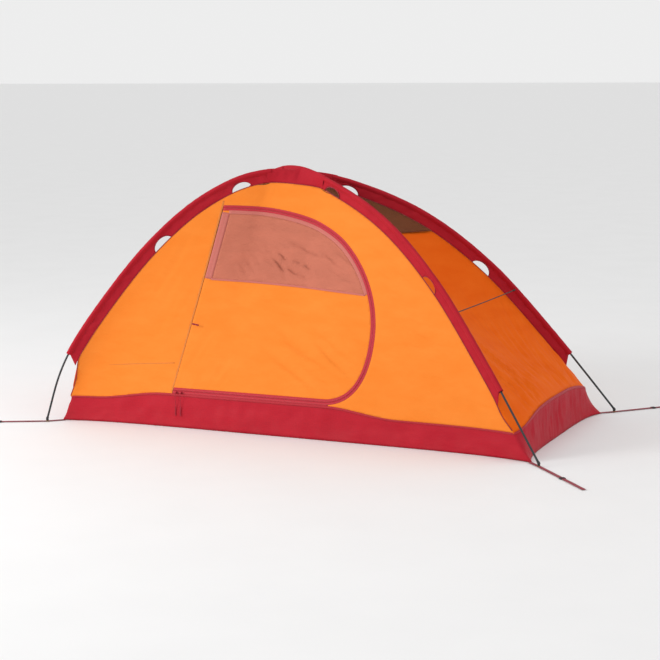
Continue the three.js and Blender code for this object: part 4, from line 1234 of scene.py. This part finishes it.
thicken(dress(pocket, "tent", "canopy_cloth"), THICKNESS["seam"])

# %% [markdown]
# ## The door
# The leaf is cut from the same guide, so shut it lies flush with the front. Its upper part is
# insect net behind a hem. The zip side is taut; the lower right hangs a little slack, and creases
# run through it toward the shoulder.

# %% Door leaf and window
leaf_folds = folds_of(
    rolling((0.45, 0.30), 0.008, 31.0),
    creases((0.12, 0.32), (0.26, 0.16), -30, 0.045, 0.30, 0.0045, 32.0),
    creases((-0.25, 0.52), (0.20, 0.10), -24, 0.040, 0.30, 0.0030, 33.0),
    creases((-0.40, 0.25), (0.14, 0.14), 55, 0.035, 0.20, 0.0025, 34.0),
    puckers(leaf_outline, 0.030, 0.028, 0.0055, 35.0, True),
    puckers(window_outline, 0.030, 0.022, 0.0045, 36.0, True),
    flat_by=[(leaf_outline, True), (window_outline, True)],
)
leaf = as_object("door_leaf", lay_cloth(
    cut_cloth(leaf_outline, CELL, [window_outline]), front, leaf_folds), canopy_cloth)
dress(leaf, "door", "canopy_cloth", "door_panel")
declare_sheet(leaf)
thicken(leaf, THICKNESS["canopy"])
window_folds = folds_of(
    creases((0.06, 0.70), (0.22, 0.10), -22, 0.032, 0.35, 0.0080, 41.0),
    creases((-0.20, 0.66), (0.20, 0.08), -48, 0.030, 0.14, 0.0050, 43.0),
    puckers(window_outline, 0.030, 0.020, 0.0060, 42.0, True),
    flat_by=[(window_outline, True)])
window = as_object("door_window_net", lay_cloth(
    cut_cloth(window_outline, CELL), front, window_folds), window_net)
dress(window, "door", "window_mesh", "door_window")
declare_sheet(window)
thicken(window, THICKNESS["window"])

hem_tape = tape_finish("window hem", (0.56, 0.155, 0.125), (0.0045,), (0.66, 0.26, 0.20))
hem_run = list(window_outline)
hem_start = min(range(len(hem_run)), key=lambda k: hem_run[k][0] + hem_run[k][1])
hem_run = hem_run[hem_start:] + hem_run[:hem_start + 1]
upper_left = min(range(len(hem_run)), key=lambda k: hem_run[k][0] - hem_run[k][1])
lower_right = max(range(len(hem_run)), key=lambda k: hem_run[k][0] - hem_run[k][1])
hems = {
    "hinge": (hem_run[:upper_left + 1], HINGE_HEM - 0.003),
    "curve": (hem_run[upper_left:lower_right + 1], 0.011),
    "sill": (hem_run[lower_right:], 0.003),
}
for hem_name, (run, width) in hems.items():
    hem = as_object("window_hem_" + hem_name, tape_on(front, run, -width, 0.004, 0.0014), hem_tape)
    thicken(dress(hem, "door", "canopy_cloth"), THICKNESS["tape"])
hinge_line = np.array([(hinge_x(z), z) for z in np.linspace(ZIP_BOTTOM + 0.004, DOOR_TOP + 0.02, 90)])
hinge_seam = as_object("door_hinge_seam", tape_on(front, hinge_line, -HINGE_TAPE, 0, 0.0009), canopy_tape)
thicken(dress(hinge_seam, "tent", "canopy_cloth"), THICKNESS["tape"])
print("door pieces made")

# %% [markdown]
# ## The tub
# The floor's edge turns up into a low waterproof wall all the way round, sewn from the same
# coated cloth. One loft goes round the whole tent: down at the floor's outline, up at the tub's
# top, with the corners drawn round a little, because cloth never holds a sharp vertical corner.

# %% Tub ring and floor
TUB_FOOT = 0.0022
CORNER_ROUNDING = 3
SIDE_STEPS = 225
RING_STEPS = 4 * SIDE_STEPS
CORNER_FLARE = 0.020
TUB_ROWS = 12
GROUND_CELL = 0.02


def floor_outline(lean):
    """The tub's outline and top at a lean, from the front left corner round by the right."""
    tuck = 1 if lean else 0
    ring = []
    for along, sign, way, top in ((0, -1, 1, tub_top_front), (1, 1, 1, tub_top_end),
                                  (0, 1, -1, lambda place: TUB_HEIGHT), (1, -1, -1, tub_top_end)):
        for share in np.linspace(-1, 1, SIDE_STEPS, endpoint=False):
            place, out = edge_place(share * way, along, lean, tuck, sign)
            flat = (place, sign * out) if along == 0 else (sign * out, place)
            ring.append((*flat, top(place)))
    return np.array(ring)


def rounded_ring(lean):
    """The outline averaged over a few stations, which rounds its corners."""
    ring = floor_outline(lean)
    weights = np.hanning(2 * CORNER_ROUNDING + 1)
    weights /= weights.sum()
    wrapped = np.vstack([ring[-CORNER_ROUNDING:], ring, ring[:CORNER_ROUNDING]])
    return np.stack([np.convolve(wrapped[:, k], weights, "valid") for k in range(3)], axis=1)


tub_rings = {lean: rounded_ring(lean) for lean in (0.0, TUB_LEAN)}


def on_ring(share, lean):
    ring = tub_rings[lean]
    place = share % 1 * len(ring)
    index = int(place) % len(ring)
    return Vector(ring[index]).lerp(Vector(ring[(index + 1) % len(ring)]), place - int(place))


def on_tub(share, rise, stand=0.0):
    low, high = on_ring(share, 0.0), on_ring(share, TUB_LEAN)
    point = low.lerp(high, rise)
    point.z = mix(TUB_FOOT, high.z, rise)
    out = Vector((point.x / FLOOR_HALF_X ** 2, point.y / FLOOR_HALF_Y ** 2, 0)).normalized()
    slack = math.sin(math.pi * min(rise, 1.0)) * 0.010 + 0.0015
    wave = noise.noise((share * 46, rise * 1.2, 51.0)) + 0.5 * noise.noise((share * 150, rise * 2.5, 52.0))
    corner = min((point - Vector((sx * FLOOR_HALF_X, sy * FLOOR_HALF_Y, point.z))).length
                 for sx in (-1, 1) for sy in (-1, 1))
    crush = math.exp(-corner / 0.09) * noise.noise((share * 110 + rise * 2, rise * 2, 53.0)) * 0.008
    flare = CORNER_FLARE * math.exp(-corner / 0.045) * (1 - rise) ** 2
    return point + out * (slack * wave + crush * math.sin(math.pi * min(rise, 1.0)) + stand) + Vector((
        math.copysign(flare, point.x), math.copysign(flare * 0.5, point.y), 0))


ring_length = float(np.linalg.norm(np.diff(tub_rings[0.0][:, :2], axis=0), axis=1).sum())
tub = as_object("tub_ring", rolled(
    lambda u, v: (on_tub(u, v), (u * ring_length, v * TUB_HEIGHT)),
    RING_STEPS, TUB_ROWS, closed=True, capped=False), tub_cloth)
dress(tub, "tent", "tub_cloth", "tub_front", "tub_back", "tub_left", "tub_right")
thicken(tub, THICKNESS["tub"])

ground = as_object("groundsheet_cloth", lay_cloth(
    cut_cloth(close_up(tub_rings[0.0][:, :2]), GROUND_CELL),
    lambda x, y: (Vector((x, y, 0.0012)), Vector((0, 0, 1)))), tub_cloth)
dress(ground, "tent", "tub_cloth", "groundsheet")
thicken(ground, THICKNESS["canopy"])
tub_tape = as_object("tub_top_binding", rolled(
    lambda u, v: (on_tub(u, 0.955 + 0.075 * v, 0.0016), (u * ring_length, (v - 0.5) * 0.008)),
    RING_STEPS, 2, closed=True, capped=False), tub_binding)
thicken(dress(tub_tape, "tent", "tub_cloth"), THICKNESS["canopy"])

# %% [markdown]
# ## Pole sleeves
# Each sleeve is a tunnel that closes round the pole and a fin that joins it to the roof seam. In
# the fin half-moons are cut and bound, so that air moves under it. The tunnel's section is a
# drop, round over the pole and pinched where it meets the fin, with small ripples from the pull.

# %% Sleeves
MOON_RADIUS = 0.047
MOON_DEPTH = 0.030
MOON_PLACES = {"left": (0.280, 0.715), "right": (0.215, 0.905)}
SLEEVE_SLANT = 0.034
TUNNEL_RADIUS = 0.0092
TUNNEL_SIDES = 20
SLEEVE_CELL = 0.006
SLEEVE_HEAD = SLEEVE_START - 0.006
MOON_BINDING = 0.0026


def fin_outline(end, moons):
    line = [(SLEEVE_HEAD, 0.010), (end, 0.010), (end + SLEEVE_SLANT, FIN_WIDTH)]
    for centre in sorted(moons, reverse=True):
        turns = np.linspace(0, math.pi, 28)
        line += [(centre + MOON_RADIUS * math.cos(t), FIN_WIDTH - MOON_DEPTH * math.sin(t)) for t in turns]
    return close_up(line + [(SLEEVE_HEAD, FIN_WIDTH)], SLEEVE_CELL)


def make_sleeve(leg, seed):
    end = leg.at_height(SLEEVE_END_HEIGHT[leg.end])
    moons = MOON_PLACES[leg.end]

    def fin_surface(distance, depth):
        point, _, side, up = leg.frame(distance)
        return point - up * depth, side

    def ripple(flat):
        return np.array([0.0060 * noise.noise(((d + 0.6 * h) / 0.032, h / 0.07, seed))
                         * math.sin(math.pi * min(h / FIN_WIDTH, 1)) for d, h in flat])

    fin = lay_cloth(cut_cloth(fin_outline(end, moons), SLEEVE_CELL), fin_surface, ripple)

    def tunnel_place(u, v):
        distance = mix(SLEEVE_HEAD, end, u)
        point, _, side, up = leg.frame(distance)
        turn = v * 2 * math.pi
        low = max(-math.cos(turn), 0)
        wide = TUNNEL_RADIUS * (1 - 0.45 * low ** 2)
        tall = TUNNEL_RADIUS * (1 + 0.55 * low ** 3)
        loose = 0.0008 * noise.noise((distance / 0.022, v * 4, seed + 0.5))
        hem = 0.0006 if distance > end - 0.012 else 0
        co = point + side * math.sin(turn) * (wide + loose + hem) + up * math.cos(turn) * (tall + loose + hem)
        return co, (distance, v * 2 * math.pi * TUNNEL_RADIUS)

    stations = int((end - SLEEVE_START) / SLEEVE_CELL)
    piece = as_object("sleeve_" + leg.name + "_cloth", joined(
        fin, rolled(tunnel_place, stations, TUNNEL_SIDES, True, False)), sleeve_cloth)
    dress(piece, "tent", "sleeve_cloth", "sleeve_" + leg.name)
    area = sum(face.area for face in piece.data.polygons)
    flat = (end - SLEEVE_START + SLEEVE_SLANT, FIN_WIDTH + 2 * math.pi * TUNNEL_RADIUS)
    thicken(piece, THICKNESS["sleeve"])
    print(piece.name, "cut", round(flat[0], 3), "x", round(flat[1], 3), "m, area", round(area, 3))

    for order, centre in enumerate(moons, 1):
        rim = []
        for turn in np.linspace(0, math.pi, 34):
            point, normal = fin_surface(centre + MOON_RADIUS * math.cos(turn),
                                        FIN_WIDTH - MOON_DEPTH * math.sin(turn))
            rim.append((point, normal, leg.frame(centre)[3]))
        bound = as_object("half_moon_binding_" + leg.name + "_" + str(order),
                          rod_along(rim, MOON_BINDING, 8), binding_tape)
        dress(bound, "tent", "sleeve_cloth")


for seed, leg in enumerate(legs.values()):
    make_sleeve(leg, 60.0 + seed)
for name in ("front", "back"):
    seam = [Vector(point) for point in walls[name].edge[::3]]
    piping = as_object("roof_seam_" + name, rod_along(frames_through(seam), 0.0024, 8, 0.7), binding_tape)
    dress(piping, "tent", "sleeve_cloth")

# %% [markdown]
# ## The cap over the crossing
# A red cap covers the two poles where they cross. Its cloth climbs from each roof seam, wraps
# over the poles as ridges and comes down to the next seam. Four sectors share those ridges; each
# is a loft between its seam and its ridge, and merging their edges makes one cloth.

# %% Crown cap
CAP_REACH = 0.152
CAP_STAND = 0.0070
CAP_END_STAND = 0.0106
CAP_COLUMNS = 80
CAP_ROWS = 16
CAP_SLOPE = 0.42
cap_peak = CROWN.z + OVER_RISE + CAP_STAND


def ridge_point(leg, distance):
    point, along, side, up = leg.frame(distance)
    top = point + up * mix(CAP_STAND, CAP_END_STAND, smooth_step(distance, 0.02, CAP_REACH))
    spread = math.hypot(top.x - CROWN.x, top.y)
    top.z = max(top.z, cap_peak - CAP_SLOPE * spread if spread < 0.05 else top.z)
    return top


def sector(wall, low, high):
    ends = []
    for leg in (low, high):
        point, _, _, up = leg.frame(CAP_REACH)
        under = np.array(point - up * FIN_WIDTH)
        ends.append(int(np.linalg.norm(wall.edge - under, axis=1).argmin()))
    edge = evenly(wall.edge[ends[0]:ends[1] + 1], 0.0005)
    outward = Vector((0, 0, 0))
    outward[1 - wall.along] = wall.sign

    def place(u, v):
        seam = Vector(edge[min(int(round(u * (len(edge) - 1))), len(edge) - 1)])
        leg, distance = (low, CAP_REACH * (1 - 2 * u)) if u < 0.5 else (high, CAP_REACH * (2 * u - 1))
        ridge = ridge_point(leg, distance)
        side = leg.frame(distance)[2]
        side = side if side.dot(outward) > 0 else -side
        reach = 0.0125 * min(1, distance / 0.03)
        shoulder = ridge + side * reach - Vector((0, 0, 0.001))
        wave = 0.0022 * noise.noise((u * 14, v * 2, 70 + wall.sign + 3 * wall.along)) * math.sin(math.pi * v)
        co = seam * (1 - v) ** 2 + shoulder * 2 * v * (1 - v) + ridge * v ** 2 + outward * wave
        return co, (mix(-CAP_REACH, CAP_REACH, u), v * 0.07)

    return rolled(place, CAP_COLUMNS, CAP_ROWS, closed=False, capped=False)


cap_bm = joined(
    sector(walls["front"], legs["front_left"], legs["front_right"]),
    sector(walls["back"], legs["back_left"], legs["back_right"]),
    sector(walls["left"], legs["front_left"], legs["back_left"]),
    sector(walls["right"], legs["front_right"], legs["back_right"]))
bmesh.ops.remove_doubles(cap_bm, verts=cap_bm.verts, dist=1e-5)
bmesh.ops.recalc_face_normals(cap_bm, faces=cap_bm.faces)
cap = as_object("crown_cap", cap_bm, sleeve_cloth)
dress(cap, "tent", "sleeve_cloth", "crown_patch")
thicken(cap, THICKNESS["sleeve"])

# %% [markdown]
# ## Poles, cords and tips
# Each pole is seven drawn tubes on an elastic cord. A tube has a slight swage at its end, where it
# takes the next one's insert. The cord runs inside all of them and isn't seen. At each foot a
# moulded tip closes the pole and carries the pin that stands in the corner's eyelet.

# %% Poles
POLE_RADIUS = 0.00425
POLE_TUBES = 7
TUBE_GAP = 0.0006
SWAGE = 0.00035
SWAGE_LENGTH = 0.02
TUBE_LIP = 0.0006
SHOCK_RADIUS = 0.0013
CORD_END = 0.004


def pole_frames(pole, start, end, step=0.012):
    places = np.linspace(start, end, max(4, int((end - start) / step)))
    return [(point, side, up) for point, _, side, up in (pole.frame(place) for place in places)]


for pole_name, pole in poles.items():
    length = pole.length / POLE_TUBES
    for i in range(POLE_TUBES):
        start, end = i * length + TUBE_GAP, (i + 1) * length - TUBE_GAP

        def tube_radius(share):
            near_end = min(share, 1 - share) * length
            swage = SWAGE if near_end < SWAGE_LENGTH else 0
            lip = TUBE_LIP if near_end < 0.001 else 0
            return POLE_RADIUS + swage - lip

        tube = as_object(f"{pole_name}_pole_tube_{i + 1}",
                         rod_along(pole_frames(pole, start, end), tube_radius, 20), anodised)
        dress(tube, "tent", "pole", f"pole_{pole_name}_tube_{i + 1}")
    cord = as_object(pole_name + "_shock_cord", rod_along(
        pole_frames(pole, CORD_END, pole.length - CORD_END), SHOCK_RADIUS, 8), shock_braid)
    dress(cord, "tent", "shock_cord", "shock_cord_" + pole_name)

TIP_PROFILE = ((0, 0.0008), (0.0021, 0.0012), (0.0023, 0.0045), (0.0050, 0.0048), (0.0060, 0.0058),
               (0.0060, 0.0082), (0.0048, 0.0098), (0, 0.0104))
# Distance past the pole's end and radius, for each ring of the collar.
TIP_COLLAR = ((-0.028, 0.0030), (-0.0062, 0.0031), (-0.006, 0.0056), (-0.001, 0.0060), (0.001, 0.0060),
              (0.004, 0.0058), (0.0058, 0.0044), (0.0066, 0.0022))
for leg_name, leg in legs.items():
    foot = middle_of("eyelet_" + leg_name)
    post = turned(TIP_PROFILE, Vector((foot.x, foot.y, 0)))
    end = leg.pole.crossing + leg.direction * leg.length
    point, along, side, up = leg.pole.frame(end)
    run = along * leg.direction
    collar_frames = [(point + run * out, side, up) for out, _ in TIP_COLLAR]
    collar = rod_along(collar_frames, lambda u: TIP_COLLAR[min(int(round(u * 7)), 7)][1], 20)
    tip = as_object("pole_foot_tip_" + leg_name, joined(post, collar), tip_nylon)
    dress(tip, "tent", "tip_plastic", "pole_tip_" + leg_name)

# %% [markdown]
# ## Corner straps
# From each tub corner a strip of webbing runs out under the pole's foot and on to a peg. A pressed
# eyelet in it takes the pole tip, and a small ladder lock slides along it. Webbing that lies on
# the ground is never quite flat, so it lifts and turns a little, more toward its loose end.

# %% Straps, eyelets and ladder locks
STRAP_ANGLE = {"left": 26, "right": 48}
STRAP_TAIL = {"left": 0.236, "right": 0.385}
STRAP_WIDTH = 0.0148
STRAP_MIDDLE = 0.0028
BUCKLE_PLACE = 0.205
BUCKLE_REACH = 0.030


def strap_line(leg):
    foot = middle_of("eyelet_" + leg.name)
    turn = math.radians(STRAP_ANGLE[leg.end])
    return Vector((foot.x, foot.y, 0)), Vector((leg.sx * math.cos(turn), leg.sy * math.sin(turn), 0))


def make_strap(leg, seed):
    foot, direction = strap_line(leg)
    tail = STRAP_TAIL[leg.end]
    corner = Vector((leg.sx * FLOOR_HALF_X, leg.sy * FLOOR_HALF_Y, 0))
    inner = corner.lerp(foot, 0.10)
    bend = (foot - inner).length
    total = bend + tail

    def place(u, v):
        walked = u * total
        if walked < bend:
            point, run = inner.lerp(foot, walked / bend), (foot - inner).normalized()
        else:
            point, run = foot + direction * (walked - bend), direction
        near = (foot - inner).normalized().lerp(direction, smooth_step(walked, bend - 0.02, bend + 0.02))
        across = Vector((-near.y, near.x, 0)).normalized() * STRAP_WIDTH / math.sqrt(near.length)
        held_flat = math.exp(-((walked - bend - BUCKLE_PLACE) / BUCKLE_REACH) ** 2)
        free = smooth_step(walked - bend, 0.02, 0.10) * (1 - held_flat)
        lift = 0.0003 * free * noise.noise((walked / 0.055, seed, 0.2))
        twist = 0.012 * free * noise.noise((walked / 0.09, seed, 4.2))
        point = point + across * (v - 0.5)
        point.z = STRAP_MIDDLE + lift + twist * (v - 0.5) * STRAP_WIDTH
        return point, (walked, (v - 0.5) * STRAP_WIDTH)

    piece = as_object("webbing_" + leg.name, rolled(place, int(total / 0.005), 6, False, False), webbing)
    dress(piece, "tent", "webbing", "corner_strap_" + leg.name)
    thicken(piece, THICKNESS["webbing"])


EYELET_PROFILE = ((0.0029, 0.0022), (0.0040, 0.0013), (0.0060, 0.0012), (0.0072, 0.0016), (0.0070, 0.0019),
                  (0.0046, 0.0021), (0.0046, 0.0037), (0.0068, 0.0039), (0.0071, 0.0042), (0.0062, 0.0046),
                  (0.0042, 0.0046), (0.0029, 0.0040), (0.0029, 0.0022))


def rounded_block(size, place, round_by=0.0006, turn=0.0):
    """A block with rounded edges, for the bars of small mouldings."""
    bm = bmesh.new()
    bmesh.ops.create_cube(bm, size=1)
    bmesh.ops.scale(bm, vec=size, verts=bm.verts)
    bmesh.ops.bevel(bm, geom=list(bm.edges), affect="EDGES", offset=round_by, segments=3,
                    profile=0.5, material=-1)
    bmesh.ops.translate(bm, vec=place, verts=bm.verts)
    if turn:
        bmesh.ops.rotate(bm, verts=bm.verts, matrix=Matrix.Rotation(turn, 3, "Z"))
    return bm


def ladder_lock(direction, place):
    """Two rounded cheeks joined by two bars below the webbing and three bars over it."""
    parts = [rounded_block((0.016, 0.0030, 0.0048), (0, side * 0.0096, 0.0029), 0.0012) for side in (-1, 1)]
    parts += [rounded_block((0.0035, 0.0190, 0.0014), (at, 0, 0.0047), 0.0005)
              for at in (-0.0060, 0.0, 0.0060)]
    parts += [rounded_block((0.0022, 0.0190, 0.0012), (at, 0, 0.0010), 0.0004) for at in (-0.0050, 0.0050)]
    body = joined(*parts)
    turn = math.atan2(direction.y, direction.x)
    bmesh.ops.rotate(body, verts=body.verts, matrix=Matrix.Rotation(turn, 3, "Z"))
    bmesh.ops.translate(body, vec=place, verts=body.verts)
    return body


for seed, leg in enumerate(legs.values()):
    make_strap(leg, 80.0 + seed)
    foot, direction = strap_line(leg)
    ring = as_object("corner_eyelet_" + leg.name, turned(EYELET_PROFILE, foot, 32), brass)
    dress(ring, "tent", "brass", "eyelet_" + leg.name)
    lock = as_object("strap_lock_" + leg.name,
                     ladder_lock(direction, foot + direction * BUCKLE_PLACE), black_plastic)
    dress(lock, "ladder_lock_" + leg.name, "black_plastic", "ladder_lock_" + leg.name)

# %% [markdown]
# ## Small fittings
# The tie cord's hook clips round the back pole. Two sliders stand on the zip's lower run, each
# with a short braided pull that hangs over the tub, and a small bar beside the door's sewn edge
# holds the door when it is rolled away.

# %% Hook, sliders, pulls and toggle
hook_low, hook_high = (Vector(corner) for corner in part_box("end_tie_hook"))
hook_start = Vector((tie_start.x, hook_low.y, tie_start.z))
hook_end = Vector((tie_start.x, hook_high.y, tie_start.z))
barrel = frames_through([hook_start.lerp(hook_end, share) for share in np.linspace(0, 0.62, 15)])
grooves = (0.0041, 0.0041, 0.0036)
barrel_widths = (0.0024, 0.0036, *grooves * 3, 0.0041, 0.0038, 0.0030, 0.0024)
claw = []
for turn in np.linspace(0, 1.5 * math.pi, 26):
    middle = hook_start.lerp(hook_end, 0.80)
    claw.append(middle + Vector((0, -0.0048 * math.cos(turn), 0.0034 * math.sin(turn))))
hook = as_object("tie_hook_moulding", joined(
    rod_along(barrel, lambda u: barrel_widths[min(int(round(u * 14)), 14)], 16),
    rod_along(frames_through(claw, Vector((1, 0, 0))), 0.0014, 10)), black_plastic)
dress(hook, "tent", "black_plastic", "end_tie_hook")


def make_slider(name):
    low, high = (Vector(corner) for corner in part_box("zip_slider_" + name))
    middle, size = (low + high) / 2, high - low
    body = rounded_block((size.x * 0.96, 0.0042, size.z * 0.9),
                         (middle.x, high.y - 0.0022, middle.z + 0.0005), 0.0016)
    for vertex in body.verts:
        share = (high.z - vertex.co.z) / size.z
        vertex.co.x = middle.x + (vertex.co.x - middle.x) * mix(1.0, 0.72, min(max(share, 0), 1))
    loop = []
    for turn in np.linspace(-0.5 * math.pi, 0.5 * math.pi, 16):
        loop.append(Vector((middle.x, high.y - 0.0040 - 0.0056 * math.cos(turn),
                            middle.z - 0.0008 + 0.0030 * math.sin(turn))))
    bail = rod_along(frames_through(loop, Vector((1, 0, 0))), 0.0009, 10)
    piece = as_object("slider_" + name, joined(body, bail), slider_enamel)
    dress(piece, "zip_slider_" + name, "slider_metal", "zip_slider_" + name)


def make_pull(name):
    low, high = (Vector(corner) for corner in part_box("zip_pull_" + name))
    middle = (low + high) / 2
    top = Vector((middle.x, middle.y, high.z))
    length = high.z - low.z
    points = [top - Vector((0.0006 * math.sin(9 * share), 0, share * length))
              for share in np.linspace(0, 1, 60)]

    def width(share):
        grip = smooth_step(share, 0.58, 0.64)
        knot = 0.0010 * math.exp(-((share - 0.56) / 0.025) ** 2)
        tail_end = 0.0010 * smooth_step(share, 0.97, 1.0)
        return 0.0011 + 0.0011 * grip + knot - tail_end

    cord = as_object("pull_" + name,
                     rod_along(frames_through(points, Vector((0, 1, 0))), width, 14, 0.75), pull_braid)
    dress(cord, "zip_pull_" + name, "pull_tape", "zip_pull_" + name)


for name in ("lead", "tail"):
    make_slider(name)
    make_pull(name)

toggle_low, toggle_high = (Vector(corner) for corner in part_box("door_toggle"))
toggle_middle = (toggle_low + toggle_high) / 2
toggle_points = [Vector((x, toggle_middle.y, toggle_middle.z + 0.15 * (toggle_middle.x - x)))
                 for x in np.linspace(toggle_low.x, toggle_high.x, 31)]


def toggle_width(share):
    ends = min(share, 1 - share)
    waist = 0.0010 * math.exp(-((share - 0.5) / 0.07) ** 2)
    return 0.0034 * math.sqrt(max(0.05, 1 - (1 - min(ends / 0.12, 1)) ** 2)) - waist


toggle = as_object("door_stow_toggle", rod_along(frames_through(toggle_points), toggle_width, 18), webbing)
dress(toggle, "door", "webbing", "door_toggle")
print("fittings made")

# %% Stage and light
bpy.context.scene.view_settings.view_transform = "Standard"
world = bpy.data.worlds.new("studio")
world.use_nodes = True
world.node_tree.nodes["Background"].inputs["Color"].default_value = (1.0, 1.0, 1.0, 1)
world.node_tree.nodes["Background"].inputs["Strength"].default_value = 0.85
bpy.context.scene.world = world

floor_bm = bmesh.new()
bmesh.ops.create_grid(floor_bm, x_segments=8, y_segments=8, size=150)
bmesh.ops.translate(floor_bm, vec=(0, 0, -0.0008), verts=floor_bm.verts)
floor_finish = Finish("studio floor", (0.86, 0.86, 0.86), 0.9)
floor_finish.set("Base Color", floor_finish.mix_colour(
    floor_finish.noise(floor_finish.place, 3.0, 5.0), (0.84, 0.84, 0.84, 1), (0.88, 0.88, 0.88, 1)))
as_object("studio_floor", floor_bm, floor_finish.material, smooth=False)


def soft_light(name, place, target, size, power):
    data = bpy.data.lights.new(name, "AREA")
    data.size = size
    data.energy = power
    lamp = bpy.data.objects.new(name, data)
    lamp.location = place
    lamp.rotation_euler = (Vector(target) - Vector(place)).to_track_quat("-Z", "Y").to_euler()
    bpy.context.collection.objects.link(lamp)


soft_light("key", (-4.2, -4.2, 2.6), (0, 0, 0.4), 2.2, 180)
soft_light("fill", (5.0, -3.0, 3.0), (0, 0, 0.4), 4.0, 12)
